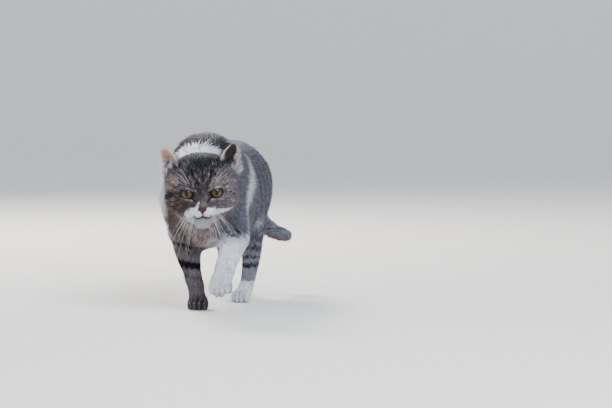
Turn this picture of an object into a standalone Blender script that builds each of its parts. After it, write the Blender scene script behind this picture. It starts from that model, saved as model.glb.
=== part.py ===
"""A walking British Shorthair tomcat, life size, as a still museum model.

Frame: metres, +X to the cat's left, +Y to its rear, +Z up, origin on the floor under the
middle of its box. The left forepaw is lifted in mid-stride. Every solid reaches the tips of the coat.
The body is modelled whole from lofts and rounded masses, then parted by thin cuts into named pieces.
"""

import math

import bmesh
import bpy
import numpy as np
from mathutils import Matrix, Vector

# ---- driving sizes, in metres ----
CUT = 0.0004  # width of the thin cuts that part the body
CLEARANCE = 0.0003  # room round an eyeball, under an ear and behind the nose
SOLE_LEVEL = 0.0002  # what lies lower than this is set on the floor
BODY_VOXEL = 0.0034
HEAD_VOXEL = 0.0021
WHOLE_VOXEL = 0.0023
WHOLE_TRIANGLES = 26000

# ---- the head's own frame: origin midway between the eyes, -Y out of the face ----
HEAD_PLACE = Vector((0.0239, -0.131, 0.1925))
HEAD_TURN = math.radians(12.0)  # towards the cat's left
HEAD_NOD = math.radians(8.0)  # face down
HEAD_ROLL = math.radians(-2.5)  # left side up
EYE_RADIUS = 0.0117
EYE_X, EYE_Y = 0.0222, 0.0086

# trunk: (x, y, half width, lowest z, highest z)
TRUNK = (
    (-0.004, -0.056, 0.0360, 0.140, 0.2260),
    (-0.004, -0.030, 0.0550, 0.114, 0.2540),
    (-0.004, 0.000, 0.0655, 0.099, 0.2735),
    (-0.003, 0.036, 0.0690, 0.093, 0.2825),
    (-0.003, 0.072, 0.0700, 0.092, 0.2810),
    (-0.002, 0.120, 0.0700, 0.091, 0.2710),
    (-0.001, 0.180, 0.0705, 0.090, 0.2645),
    (0.000, 0.235, 0.0685, 0.095, 0.2640),
    (0.000, 0.285, 0.0630, 0.108, 0.2640),
    (0.000, 0.322, 0.0530, 0.130, 0.2550),
    (0.000, 0.346, 0.0380, 0.156, 0.2400),
    (0.000, 0.358, 0.0190, 0.178, 0.2240),
)
BACK_NARROWING = 0.08  # how much slimmer a section is at its top than at its middle

# lofts: (x, y, z, half width, half depth)
NECK = (
    (-0.003, 0.030, 0.192, 0.060, 0.073),
    (0.000, -0.010, 0.193, 0.060, 0.066),
    (0.006, -0.040, 0.193, 0.058, 0.059),
    (0.012, -0.066, 0.191, 0.053, 0.052),
)
TAIL = (
    (0.000, 0.325, 0.228, 0.0220, 0.0220),
    (0.000, 0.352, 0.228, 0.0205, 0.0205),
    (-0.002, 0.381, 0.212, 0.0185, 0.0185),
    (0.001, 0.401, 0.182, 0.0170, 0.0170),
    (0.008, 0.408, 0.150, 0.0158, 0.0158),
    (0.022, 0.403, 0.121, 0.0150, 0.0150),
    (0.042, 0.389, 0.1040, 0.0142, 0.0142),
    (0.061, 0.375, 0.0985, 0.0138, 0.0138),
    (0.074, 0.367, 0.0965, 0.0118, 0.0118),
    (0.082, 0.362, 0.0960, 0.0070, 0.0070),
)
FORELEG_RIGHT = (
    (-0.0420, 0.014, 0.176, 0.0290, 0.044),
    (-0.0400, 0.020, 0.146, 0.0270, 0.039),
    (-0.0370, 0.027, 0.122, 0.0240, 0.031),
    (-0.0315, 0.022, 0.101, 0.0222, 0.0255),
    (-0.0260, 0.014, 0.081, 0.0195, 0.0210),
    (-0.0198, 0.007, 0.062, 0.0155, 0.0170),
    (-0.0145, 0.002, 0.045, 0.0140, 0.0155),
    (-0.0100, -0.004, 0.028, 0.0137, 0.0150),
    (-0.0070, -0.008, 0.013, 0.0150, 0.0155),
)
FORELEG_LEFT = (
    (0.0400, 0.010, 0.176, 0.0290, 0.043),
    (0.0450, 0.016, 0.146, 0.0260, 0.038),
    (0.0495, 0.016, 0.121, 0.0240, 0.031),
    (0.0512, -0.008, 0.1085, 0.0215, 0.0245),
    (0.0515, -0.034, 0.0960, 0.0190, 0.0205),
    (0.0510, -0.056, 0.0825, 0.0172, 0.0180),
    (0.0465, -0.066, 0.0650, 0.0165, 0.0160),
    (0.0410, -0.064, 0.0500, 0.0165, 0.0150),
)
HIND_LEG_LEFT = (
    (0.0330, 0.280, 0.190, 0.0310, 0.0560),
    (0.0340, 0.250, 0.163, 0.0275, 0.0500),
    (0.0360, 0.226, 0.134, 0.0265, 0.0400),
    (0.0370, 0.224, 0.110, 0.0225, 0.0300),
    (0.0360, 0.233, 0.087, 0.0185, 0.0215),
    (0.0345, 0.237, 0.066, 0.0156, 0.0170),
    (0.0345, 0.221, 0.047, 0.0138, 0.0145),
    (0.0358, 0.196, 0.029, 0.0128, 0.0132),
    (0.0352, 0.168, 0.015, 0.0140, 0.0132),
)
HIND_LEG_RIGHT = (
    (-0.0330, 0.286, 0.190, 0.0310, 0.0560),
    (-0.0370, 0.270, 0.163, 0.0290, 0.0490),
    (-0.0395, 0.268, 0.134, 0.0265, 0.0400),
    (-0.0390, 0.296, 0.114, 0.0220, 0.0285),
    (-0.0365, 0.330, 0.099, 0.0172, 0.0200),
    (-0.0345, 0.356, 0.085, 0.0150, 0.0170),
    (-0.0340, 0.368, 0.063, 0.0133, 0.0140),
    (-0.0340, 0.374, 0.038, 0.0130, 0.0135),
    (-0.0342, 0.369, 0.017, 0.0142, 0.0140),
)

# paws: (name, middle of the toes on the floor or in the air, heading about Z, pitch about X, width scale)
PAW_LENGTH, PAW_WIDTH, PAW_HEIGHT = 0.038, 0.0345, 0.0275
PAWS = (
    ("forepaw_right", Vector((-0.0052, -0.0150, 0.0125)), math.radians(2), 0.0, 1.0),
    ("forepaw_left", Vector((0.0378, -0.0600, 0.0425)), math.radians(14), math.radians(84), 1.0),
    ("hindpaw_left", Vector((0.0345, 0.1490, 0.0120)), math.radians(-6), 0.0, 0.94),
    ("hindpaw_right", Vector((-0.0345, 0.3510, 0.0120)), math.radians(2), 0.0, 0.94),
)

COLOURS = {
    "tabby": (0.16, 0.135, 0.125),
    "dark": (0.05, 0.045, 0.045),
    "white": (0.78, 0.77, 0.76),
    "iris": (0.36, 0.30, 0.06),
    "nose": (0.30, 0.10, 0.06),
}


# ---- small tools ----
def clear_scene():
    for old in list(bpy.data.objects):
        bpy.data.objects.remove(old)


def add_object(name, mesh):
    made = bpy.data.objects.new(name, mesh)
    bpy.context.scene.collection.objects.link(made)
    return made


def from_bmesh(name, shape):
    mesh = bpy.data.meshes.new(name)
    shape.to_mesh(mesh)
    shape.free()
    return add_object(name, mesh)


def triangles_in(mesh):
    return sum(len(face.vertices) - 2 for face in mesh.polygons)


def material(name, colour, roughness):
    made = bpy.data.materials.new(name)
    made.use_nodes = True
    shader = made.node_tree.nodes["Principled BSDF"]
    shader.inputs["Base Color"].default_value = (*colour, 1.0)
    shader.inputs["Roughness"].default_value = roughness
    return made


def mass(centre, radii, turn=None, frame=None):
    """A rounded mass: an ellipsoid at centre, turned, and placed in a frame."""
    shape = bmesh.new()
    bmesh.ops.create_uvsphere(shape, u_segments=32, v_segments=20, radius=1.0)
    place = Matrix.Translation(Vector(centre)) @ (turn or Matrix()) @ Matrix.Diagonal((*radii, 1.0))
    bmesh.ops.transform(shape, matrix=(frame or Matrix()) @ place, verts=shape.verts)
    return from_bmesh("mass", shape)


def hull_of_balls(name, balls, frame, detail=3):
    """The closed hull of balls, each (x, y, z, radius)."""
    sphere = bmesh.new()
    bmesh.ops.create_icosphere(sphere, subdivisions=detail, radius=1.0)
    shape = bmesh.new()
    for x, y, z, radius in balls:
        for vertex in sphere.verts:
            shape.verts.new(frame @ (Vector((x, y, z)) + vertex.co * radius))
    sphere.free()
    hull = bmesh.ops.convex_hull(shape, input=shape.verts)
    inner = [part for part in hull["geom_interior"] if isinstance(part, bmesh.types.BMVert)]
    bmesh.ops.delete(shape, geom=inner, context="VERTS")
    return from_bmesh(name, shape)


def bridge(start, end, start_radius, end_radius, frame):
    """A tapering rounded bar between two points."""
    return hull_of_balls("bridge", ((*start, start_radius), (*end, end_radius)), frame)


def smooth_rows(rows, steps):
    """Catmull-Rom rows through every given row."""
    rows = np.array(rows, float)
    padded = np.vstack([2 * rows[0] - rows[1], rows, 2 * rows[-1] - rows[-2]])
    found = []
    for i in range(1, len(padded) - 2):
        p0, p1, p2, p3 = padded[i - 1 : i + 3]
        for step in range(steps):
            t = step / steps
            turned = (2 * p0 - 5 * p1 + 4 * p2 - p3) * t * t
            cubic = (3 * p1 - p0 - 3 * p2 + p3) * t**3
            found.append(0.5 * (2 * p1 + (p2 - p0) * t + turned + cubic))
    found.append(rows[-1])
    return found


def loft(rows, around=28, steps=4, narrowing=0.0):
    """A closed tube of oval sections through rows of (x, y, z, half width, half depth)."""
    rows = smooth_rows(rows, steps)
    centres = [Vector(row[:3]) for row in rows]
    side = Vector((1, 0, 0))
    shape = bmesh.new()
    rings = []
    for i, row in enumerate(rows):
        tangent = (centres[min(i + 1, len(rows) - 1)] - centres[max(i - 1, 0)]).normalized()
        side = (side - tangent * side.dot(tangent)).normalized()
        depth = tangent.cross(side)
        ring = []
        for k in range(around):
            angle = 2 * math.pi * k / around
            place = centres[i] + depth * (row[4] * math.sin(angle))
            slimmer = 1 - narrowing * max(0.0, (place - centres[i]).z / row[4]) ** 2
            place += side * (row[3] * slimmer * math.cos(angle))
            ring.append(shape.verts.new(place))
        rings.append(ring)
    for low, high in zip(rings, rings[1:]):
        for k in range(around):
            after = (k + 1) % around
            shape.faces.new((low[k], low[after], high[after], high[k]))
    shape.faces.new(rings[0])
    shape.faces.new(reversed(rings[-1]))
    bmesh.ops.recalc_face_normals(shape, faces=shape.faces)
    return from_bmesh("loft", shape)


def evaluated_mesh(obj):
    return bpy.data.meshes.new_from_object(obj.evaluated_get(bpy.context.evaluated_depsgraph_get()))


def keep_modified(obj):
    """Writes the object's modifiers into its mesh."""
    mesh = evaluated_mesh(obj)
    obj.modifiers.clear()
    obj.data = mesh
    return obj


def fuse(name, pieces, voxel, rounds, factor=0.5):
    """Melts overlapping pieces into one smooth closed mesh."""
    joined = bmesh.new()
    for piece in pieces:
        joined.from_mesh(piece.data)
        bpy.data.objects.remove(piece)
    body = from_bmesh(name, joined)
    remesh = body.modifiers.new("melt", "REMESH")
    remesh.mode = "VOXEL"
    remesh.voxel_size = voxel
    relax = body.modifiers.new("relax", "SMOOTH")
    relax.iterations = rounds
    relax.factor = factor
    return keep_modified(body)


def push(obj, centre, radius, move, frame=None):
    """Moves the surface near a point, fading to nothing at the radius."""
    centre = (frame or Matrix()) @ Vector(centre)
    move = (frame or Matrix()).to_3x3() @ Vector(move)
    for vertex in obj.data.vertices:
        reach = (vertex.co - centre).length / radius
        if reach < 1:
            vertex.co += move * (1 - reach * reach) ** 2


def cut_away(obj, cutter, keep_cutter=False, solver="EXACT"):
    """Takes the cutter's volume out of the object."""
    boolean = obj.modifiers.new("cut", "BOOLEAN")
    boolean.operation = "DIFFERENCE"
    boolean.solver = solver
    boolean.object = cutter
    keep_modified(obj)
    if not keep_cutter:
        bpy.data.objects.remove(cutter)
    return obj


def grown(obj, distance):
    """A copy of the object, larger all over by the distance."""
    copy = add_object(obj.name + "_grown", obj.data.copy())
    copy.data.update()
    normals = [vertex.normal.copy() for vertex in copy.data.vertices]
    for vertex, normal in zip(copy.data.vertices, normals):
        vertex.co += normal * distance
    return copy


HEAD_FRAME = (
    Matrix.Translation(HEAD_PLACE)
    @ Matrix.Rotation(HEAD_TURN, 4, "Z")
    @ Matrix.Rotation(HEAD_NOD, 4, "X")
    @ Matrix.Rotation(HEAD_ROLL, 4, "Y")
)


# ---- the body ----
def torso():
    rows = []
    for x, y, half_width, low, high in TRUNK:
        rows.append((x, y, (low + high) / 2, half_width, (high - low) / 2))
    pieces = [loft(rows, around=40, narrowing=BACK_NARROWING), loft(NECK), loft(TAIL)]
    for leg in (FORELEG_RIGHT, FORELEG_LEFT, HIND_LEG_LEFT, HIND_LEG_RIGHT):
        pieces.append(loft(leg))
    return pieces


def muscle_masses():
    """What stands out of the trunk: shoulder blades, shoulders, haunches, and the bulk of the chest."""
    pieces = []
    for side in (-1, 1):
        pieces.append(mass((side * 0.0240 - 0.004, 0.030, 0.2385), (0.0250, 0.0400, 0.0385)))
        pieces.append(mass((side * 0.0420 - 0.004, 0.004, 0.180), (0.0265, 0.0440, 0.0500)))
        pieces.append(mass((side * 0.0360, 0.266, 0.183), (0.0300, 0.0560, 0.0570)))
    pieces.append(mass((-0.004, -0.020, 0.150), (0.0440, 0.0460, 0.0500)))
    return pieces


def paw(centre, heading, pitch, width_scale):
    """A round paw: its body, four toes and the pads beneath, toes towards -Y before it is turned."""
    frame = Matrix.Translation(centre) @ Matrix.Rotation(heading, 4, "Z") @ Matrix.Rotation(pitch, 4, "X")
    half_w, half_l, half_h = PAW_WIDTH / 2 * width_scale, PAW_LENGTH / 2, PAW_HEIGHT / 2
    pieces = [mass((0, 0.005, 0.0005), (half_w * 0.93, half_l * 0.92, half_h * 0.98), None, frame)]
    for place, back in ((-0.70, 0.006), (-0.245, 0.0), (0.245, 0.0), (0.70, 0.006)):
        toe = (place * half_w, back - half_l * 0.50, -half_h * 0.24)
        pieces.append(mass(toe, (half_w * 0.325, half_l * 0.56, half_h * 0.80), None, frame))
    return pieces


def body():
    pieces = torso() + muscle_masses()
    fused = fuse("body", pieces, BODY_VOXEL, 9)
    toes = []
    for _, centre, heading, pitch, width_scale in PAWS:
        toes += paw(centre, heading, pitch, width_scale)
    return fused, toes


# ---- the head, in its own frame ----
def head_masses():
    frame = HEAD_FRAME
    pieces = [
        mass((0, 0.042, 0.012), (0.0530, 0.0460, 0.0415), None, frame),  # cranium
        mass((0, 0.021, 0.016), (0.0370, 0.0250, 0.0290), None, frame),  # forehead
        mass((0, 0.004, -0.025), (0.0250, 0.0230, 0.0170), None, frame),  # muzzle
        mass((0, -0.0055, -0.0475), (0.0160, 0.0125, 0.0100), None, frame),  # chin
        bridge((0, 0.009, 0.015), (0, -0.0120, -0.0165), 0.0120, 0.0085, frame),  # nose bridge
        mass((0, -0.0175, -0.0225), (0.0082, 0.0060, 0.0060), None, frame),  # nose tip
        mass((0, 0.036, -0.034), (0.0360, 0.0360, 0.0240), None, frame),  # throat
    ]
    for side in (-1, 1):
        pieces += [
            mass((side * 0.0200, 0.0130, 0.0180), (0.0180, 0.0135, 0.0100), None, frame),  # brow
            mass((side * 0.0240, 0.0140, -0.0180), (0.0170, 0.0145, 0.0110), None, frame),  # cheekbone
            mass((side * 0.0340, 0.0310, -0.0120), (0.0265, 0.0310, 0.0280), None, frame),  # cheek
            mass((side * 0.0260, 0.0480, -0.0200), (0.0300, 0.0300, 0.0260), None, frame),  # jowl
            mass((side * 0.0112, -0.0100, -0.0268), (0.0145, 0.0128, 0.0104), None, frame),  # whisker pad
            mass((side * 0.0375, 0.0480, 0.0250), (0.0200, 0.0210, 0.0215), None, frame),  # ear root
            mass((side * 0.0380, 0.0420, 0.0060), (0.0205, 0.0330, 0.0280), None, frame),  # temple
            bridge((side * 0.004, -0.004, -0.042), (side * 0.026, 0.036, -0.030), 0.010, 0.016, frame),
        ]
    return pieces


def shape_face(head):
    """The hollows that the masses leave out: the eyes' places and inner corners, the stop and the mouth."""
    for side in (-1, 1):
        push(head, (side * 0.0222, -0.001, 0.0), 0.0150, (0, 0.0045, 0), HEAD_FRAME)
        push(head, (side * 0.0120, -0.003, -0.003), 0.0110, (0, 0.0035, 0), HEAD_FRAME)
        push(head, (side * 0.0190, -0.0030, -0.0375), 0.0100, (0, 0.0030, 0.0005), HEAD_FRAME)
    push(head, (0, -0.0060, 0.0060), 0.0150, (0, 0.0022, 0), HEAD_FRAME)
    push(head, (0, -0.0210, -0.0355), 0.0075, (0, 0.0040, 0), HEAD_FRAME)


def head():
    made = fuse("head_mass", head_masses(), HEAD_VOXEL, 7)
    shape_face(made)
    return made


# ---- ears, eyes and nose: solids of their own ----
EAR_LENGTH, EAR_WIDTH, EAR_THICK = 0.046, 0.0440, 0.0030
EAR_TRIANGLES = 420


def ear(name, side, swivel, tip):
    """A cupped ear: an open shell given its thickness, wide at the root and round at the tip."""
    root = Vector((side * 0.0400, 0.0480, 0.0270))
    rise = (Vector(tip) - root).normalized()
    facing = Vector((side * math.sin(swivel), -math.cos(swivel), 0.05))
    facing = (facing - rise * facing.dot(rise)).normalized()
    across = rise.cross(facing) * side
    rows, columns = 12, 10
    shape = bmesh.new()
    grid = []
    for i in range(rows + 1):
        u = i / rows
        half = EAR_WIDTH / 2 * (1 - u**2.1) ** 0.62
        row = []
        for k in range(columns + 1):
            v = 2 * k / columns - 1
            cup = (0.0150 * (1 - u) + 0.0045) * (v * v - 0.45) * (half / (EAR_WIDTH / 2))
            lean = -0.0040 * math.sin(math.pi * u)
            place = root + rise * (u * EAR_LENGTH * 1.02 - 0.004)
            place += across * (half * v) + facing * (cup + lean)
            row.append(shape.verts.new(HEAD_FRAME @ place))
        grid.append(row)
    for low, high in zip(grid, grid[1:]):
        for k in range(columns):
            shape.faces.new((low[k], low[k + 1], high[k + 1], high[k]))
    bmesh.ops.remove_doubles(shape, verts=shape.verts, dist=0.00005)
    bmesh.ops.recalc_face_normals(shape, faces=shape.faces)
    made = from_bmesh(name, shape)
    wall = made.modifiers.new("wall", "SOLIDIFY")
    wall.thickness = EAR_THICK
    wall.offset = 0.0
    keep_modified(made)
    return fuse(name, [made], 0.0013, 2, 0.4)


def eyeball(name, side, radius=EYE_RADIUS):
    shape = bmesh.new()
    bmesh.ops.create_uvsphere(shape, u_segments=18, v_segments=10, radius=radius)
    turn = Matrix.Rotation(math.radians(90), 4, "X")
    place = HEAD_FRAME @ Matrix.Translation((side * EYE_X, EYE_Y, 0)) @ turn
    bmesh.ops.transform(shape, matrix=place, verts=shape.verts)
    return from_bmesh(name, shape)


def nose_pad(grow=0.0):
    """The bare nose: a rounded wedge, wide above and narrow below, set in the muzzle's tip."""
    balls = (
        (-0.0046, -0.0198, -0.0208, 0.0024 + grow),
        (0.0046, -0.0198, -0.0208, 0.0024 + grow),
        (0.0, -0.0212, -0.0206, 0.0024 + grow),
        (0.0, -0.0192, -0.0278, 0.0020 + grow),
    )
    return hull_of_balls("nose", balls, HEAD_FRAME, detail=2)


# ---- parting the whole body ----
def slab(point, normal, radius):
    """A thin disc that parts a limb where it crosses it."""
    shape = bmesh.new()
    bmesh.ops.create_cone(shape, cap_ends=True, segments=40, radius1=radius, radius2=radius, depth=CUT)
    turn = Vector((0, 0, 1)).rotation_difference(Vector(normal).normalized()).to_matrix().to_4x4()
    bmesh.ops.transform(shape, matrix=Matrix.Translation(Vector(point)) @ turn, verts=shape.verts)
    return from_bmesh("slab", shape)


# (point, normal, radius) of every cut
CUTS = (
    ((0.0070, -0.050, 0.192), (-0.16, 1, -0.10), 0.085),  # head from neck
    ((-0.002, -0.012, 0.205), (0.0, 1, -0.50), 0.098),  # neck from trunk
    ((-0.0290, 0.018, 0.0895), (0.20, 0.25, 1), 0.0320),  # right foreleg from trunk
    ((-0.0145, 0.002, 0.0450), (0.20, 0.35, 1), 0.0300),  # right forepaw
    ((0.0514, -0.030, 0.0980), (-0.02, -0.90, -0.45), 0.0300),  # left foreleg from trunk
    ((0.0490, -0.0625, 0.0730), (-0.20, -0.50, -0.84), 0.0240),  # left forepaw
    ((0.0358, 0.2335, 0.0860), (0.0, 0.0, 1), 0.0270),  # left hind leg from trunk
    ((0.0345, 0.236, 0.0630), (0.05, -0.10, 1), 0.0280),  # left foot from shank
    ((0.0356, 0.181, 0.0200), (0.0, 1, 0.75), 0.0240),  # left hind paw
    ((-0.0375, 0.325, 0.1020), (0.10, 0.80, -0.60), 0.0340),  # right hind leg from trunk
    ((-0.0340, 0.367, 0.0680), (0.0, -0.10, 1), 0.0260),  # right foot from shank
    ((-0.0341, 0.373, 0.0300), (0.0, -0.20, 1), 0.0240),  # right hind paw
    ((-0.0010, 0.376, 0.2160), (0.0, 1, -0.20), 0.0290),  # tail from trunk
    ((0.0030, 0.404, 0.1720), (0.20, 0.15, -1), 0.0280),  # tail, first joint
    ((0.0340, 0.395, 0.1100), (0.85, -0.50, -0.60), 0.0260),  # tail, second joint
    ((0.0, 0.098, 0.180), (0.0, 1, 0.0), 0.125),  # chest from belly
    ((0.0, 0.178, 0.180), (0.0, 1, 0.0), 0.125),  # belly from rump
)

# each piece: a point inside it, to name it by, and the triangles it is given
PIECES = {
    "head": ((0.020, -0.095, 0.195), 2750),
    "neck": ((0.002, -0.032, 0.192), 420),
    "chest": ((-0.003, 0.050, 0.180), 640),
    "belly": ((-0.001, 0.140, 0.180), 300),
    "rump": ((0.0, 0.280, 0.200), 720),
    "foreleg_right": ((-0.0240, 0.010, 0.070), 220),
    "forepaw_right": ((-0.0070, -0.006, 0.022), 460),
    "foreleg_left": ((0.0505, -0.045, 0.089), 260),
    "forepaw_left": ((0.0420, -0.063, 0.054), 460),
    "hindleg_left": ((0.0355, 0.236, 0.075), 200),
    "hindfoot_left": ((0.0350, 0.215, 0.043), 160),
    "hindpaw_left": ((0.0350, 0.155, 0.013), 380),
    "hindleg_right": ((-0.0355, 0.345, 0.091), 200),
    "hindfoot_right": ((-0.0340, 0.371, 0.050), 140),
    "hindpaw_right": ((-0.0345, 0.355, 0.012), 380),
    "tail_root": ((0.000, 0.397, 0.190), 160),
    "tail_middle": ((0.008, 0.408, 0.150), 190),
    "tail_end": ((0.061, 0.375, 0.0985), 170),
}


def simplify(obj, triangles):
    """Fewer, larger facets."""
    fewer = obj.modifiers.new("fewer", "DECIMATE")
    fewer.ratio = min(1.0, triangles / triangles_in(obj.data))
    return keep_modified(obj)


def loose_pieces(obj):
    """Splits a mesh into its separate closed bodies."""
    shape = bmesh.new()
    shape.from_mesh(obj.data)
    shape.verts.ensure_lookup_table()
    seen = set()
    found = []
    for start in shape.verts:
        if start.index in seen:
            continue
        seen.add(start.index)
        island, todo = [], [start]
        while todo:
            vertex = todo.pop()
            island.append(vertex.index)
            for edge in vertex.link_edges:
                other = edge.other_vert(vertex)
                if other.index not in seen:
                    seen.add(other.index)
                    todo.append(other)
        found.append(set(island))
    made = []
    for island in found:
        part = shape.copy()
        part.verts.ensure_lookup_table()
        away = [vertex for vertex in part.verts if vertex.index not in island]
        bmesh.ops.delete(part, geom=away, context="VERTS")
        bmesh.ops.triangulate(part, faces=part.faces)
        made.append(from_bmesh("piece", part))
    shape.free()
    bpy.data.objects.remove(obj)
    return made


def inside(obj, place):
    """True if the point is in the closed mesh: in its box, with the nearest surface facing away."""
    place = Vector(place)
    low, high = Vector(obj.bound_box[0]), Vector(obj.bound_box[6])
    if any(place[axis] < low[axis] or place[axis] > high[axis] for axis in range(3)):
        return False
    found, where, normal, _ = obj.closest_point_on_mesh(place)
    return found and (where - place).dot(normal) > 0


def level_sole(paw_piece):
    """Brings the facets under a paw to the floor exactly."""
    for vertex in paw_piece.data.vertices:
        if vertex.co.z < SOLE_LEVEL:
            vertex.co.z = 0.0


def part_body(whole):
    for point, normal, radius in CUTS:
        cut_away(whole, slab(point, normal, radius), solver="MANIFOLD")
    pieces = loose_pieces(whole)
    bpy.context.view_layer.update()
    for name, (place, triangles) in PIECES.items():
        for piece in pieces:
            if inside(piece, place):
                simplify(piece, triangles).name = name
                level_sole(piece)
                pieces.remove(piece)
                break
        else:
            raise ValueError(f"no piece holds {name}'s point")
    if pieces:
        raise ValueError(f"the cuts left {len(pieces)} pieces unnamed")


def floor_block():
    shape = bmesh.new()
    bmesh.ops.create_cube(shape, size=1.0)
    bmesh.ops.translate(shape, vec=(0, 0, -0.5), verts=shape.verts)
    return from_bmesh("floor", shape)


def finish_pieces(offset):
    """Colours, shading and the move to the object's own origin."""
    looks = {key: material(key, colour, 0.7) for key, colour in COLOURS.items()}
    by_node = {"nose": "nose", "eye_left": "iris", "eye_right": "iris"}
    by_node.update({"foreleg_left": "white", "forepaw_left": "white", "hindpaw_left": "white"})
    by_node.update({"hindpaw_right": "white", "tail_end": "dark"})
    cat = bpy.data.collections.new("walking_cat")
    bpy.context.scene.collection.children.link(cat)
    for obj in list(bpy.context.scene.collection.objects):
        cat.objects.link(obj)
        bpy.context.scene.collection.objects.unlink(obj)
        obj.data.name = obj.name
        obj.data.transform(Matrix.Translation(offset))
        obj.data.materials.clear()
        obj.data.materials.append(looks[by_node.get(obj.name, "tabby")])
        obj.data.shade_smooth()
        obj.data.set_sharp_from_angle(angle=math.radians(50))


def box_of_all():
    places = [vertex.co for obj in bpy.context.scene.collection.objects for vertex in obj.data.vertices]
    low = Vector(min(place[axis] for place in places) for axis in range(3))
    high = Vector(max(place[axis] for place in places) for axis in range(3))
    return low, high


def main():
    clear_scene()
    fused, toes = body()
    whole = fuse("whole", [fused, head(), *toes], WHOLE_VOXEL, 2, 0.5)
    simplify(whole, WHOLE_TRIANGLES)
    cut_away(whole, floor_block())
    for side in (-1, 1):
        cut_away(whole, eyeball("socket", side, EYE_RADIUS + CLEARANCE))
    cut_away(whole, nose_pad(CLEARANCE))
    room = grown(whole, CLEARANCE)
    for name, side, swivel, tip in (
        ("ear_left", 1, math.radians(46), (0.0560, 0.0550, 0.0670)),
        ("ear_right", -1, math.radians(58), (-0.0575, 0.0550, 0.0620)),
    ):
        shell = ear(name, side, swivel, tip)
        cut_away(shell, room, keep_cutter=True)
        biggest = max(loose_pieces(shell), key=lambda piece: len(piece.data.vertices))
        for piece in [o for o in bpy.context.scene.collection.objects if o.name.startswith("piece")]:
            if piece is not biggest:
                bpy.data.objects.remove(piece)
        simplify(biggest, EAR_TRIANGLES).name = name
    bpy.data.objects.remove(room)
    part_body(whole)
    eyeball("eye_left", 1)
    eyeball("eye_right", -1)
    nose_pad()
    low, high = box_of_all()
    finish_pieces(Vector((-(low.x + high.x) / 2, -(low.y + high.y) / 2, -low.z)))


main()
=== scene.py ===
"""Looks for the walking tabby-and-white cat: skin, coat, eyes, nose, whiskers, paw pads and claws.

All shapes are worked out in the maker's frame, whose X 0 is the cat's midline; SHIFT moves them into
the model's frame. Sizes are in metres unless a comment says otherwise.
"""

import functools
import math

import bpy
import numpy as np
from mathutils import Matrix, Vector
from mathutils.bvhtree import BVHTree


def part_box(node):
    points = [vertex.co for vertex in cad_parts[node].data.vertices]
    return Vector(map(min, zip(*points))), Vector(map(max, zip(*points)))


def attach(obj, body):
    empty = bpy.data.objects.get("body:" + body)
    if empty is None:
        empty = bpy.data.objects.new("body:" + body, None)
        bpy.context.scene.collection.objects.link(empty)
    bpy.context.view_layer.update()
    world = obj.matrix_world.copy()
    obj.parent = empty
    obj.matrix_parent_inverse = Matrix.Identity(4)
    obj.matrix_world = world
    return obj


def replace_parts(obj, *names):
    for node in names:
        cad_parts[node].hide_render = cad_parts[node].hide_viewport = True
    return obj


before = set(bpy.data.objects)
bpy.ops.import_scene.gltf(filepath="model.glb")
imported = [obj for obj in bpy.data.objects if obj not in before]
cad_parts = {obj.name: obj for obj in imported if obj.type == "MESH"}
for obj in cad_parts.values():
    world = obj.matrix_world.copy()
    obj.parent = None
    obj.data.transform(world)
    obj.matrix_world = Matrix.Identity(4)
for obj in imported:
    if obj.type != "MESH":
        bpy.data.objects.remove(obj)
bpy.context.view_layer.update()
FAR = 9.0  # farther than anything on the cat
SIDES = (-1, 1)  # the cat's right and left

# ---- the head's frame: origin midway between the eyes, -Y out of the face ----
HEAD_FRAME = (
    Matrix.Translation(Vector((0.0239, -0.131, 0.1925)))
    @ Matrix.Rotation(math.radians(12.0), 4, "Z")
    @ Matrix.Rotation(math.radians(8.0), 4, "X")
    @ Matrix.Rotation(math.radians(-2.5), 4, "Y")
)
EYE_RADIUS = 0.0117
EYE_X, EYE_Y = 0.0222, 0.0086
EYE_SPLAY = math.radians(7.0)  # how far each eye looks outwards
EYE_TILT = math.radians(13.0)  # how far each inner corner is set lower


def box_middle(node):
    low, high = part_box(node)
    return (Vector(low) + Vector(high)) / 2


BETWEEN_EYES = (box_middle("eye_left") + box_middle("eye_right")) / 2
SHIFT = np.array(BETWEEN_EYES - HEAD_FRAME @ Vector((0, EYE_Y, 0)))
HEAD_MATRIX = np.array(HEAD_FRAME)
HEAD_INVERSE = np.array(HEAD_FRAME.inverted())

GROUPS = (
    "head", "ears", "neck", "trunk",
    "foreleg_right", "foreleg_left", "hindleg_left", "hindleg_right", "tail",
)
HEAD, EARS, NECK, TRUNK, FORELEG_RIGHT, FORELEG_LEFT, HINDLEG_LEFT, HINDLEG_RIGHT, TAIL = range(9)

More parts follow.
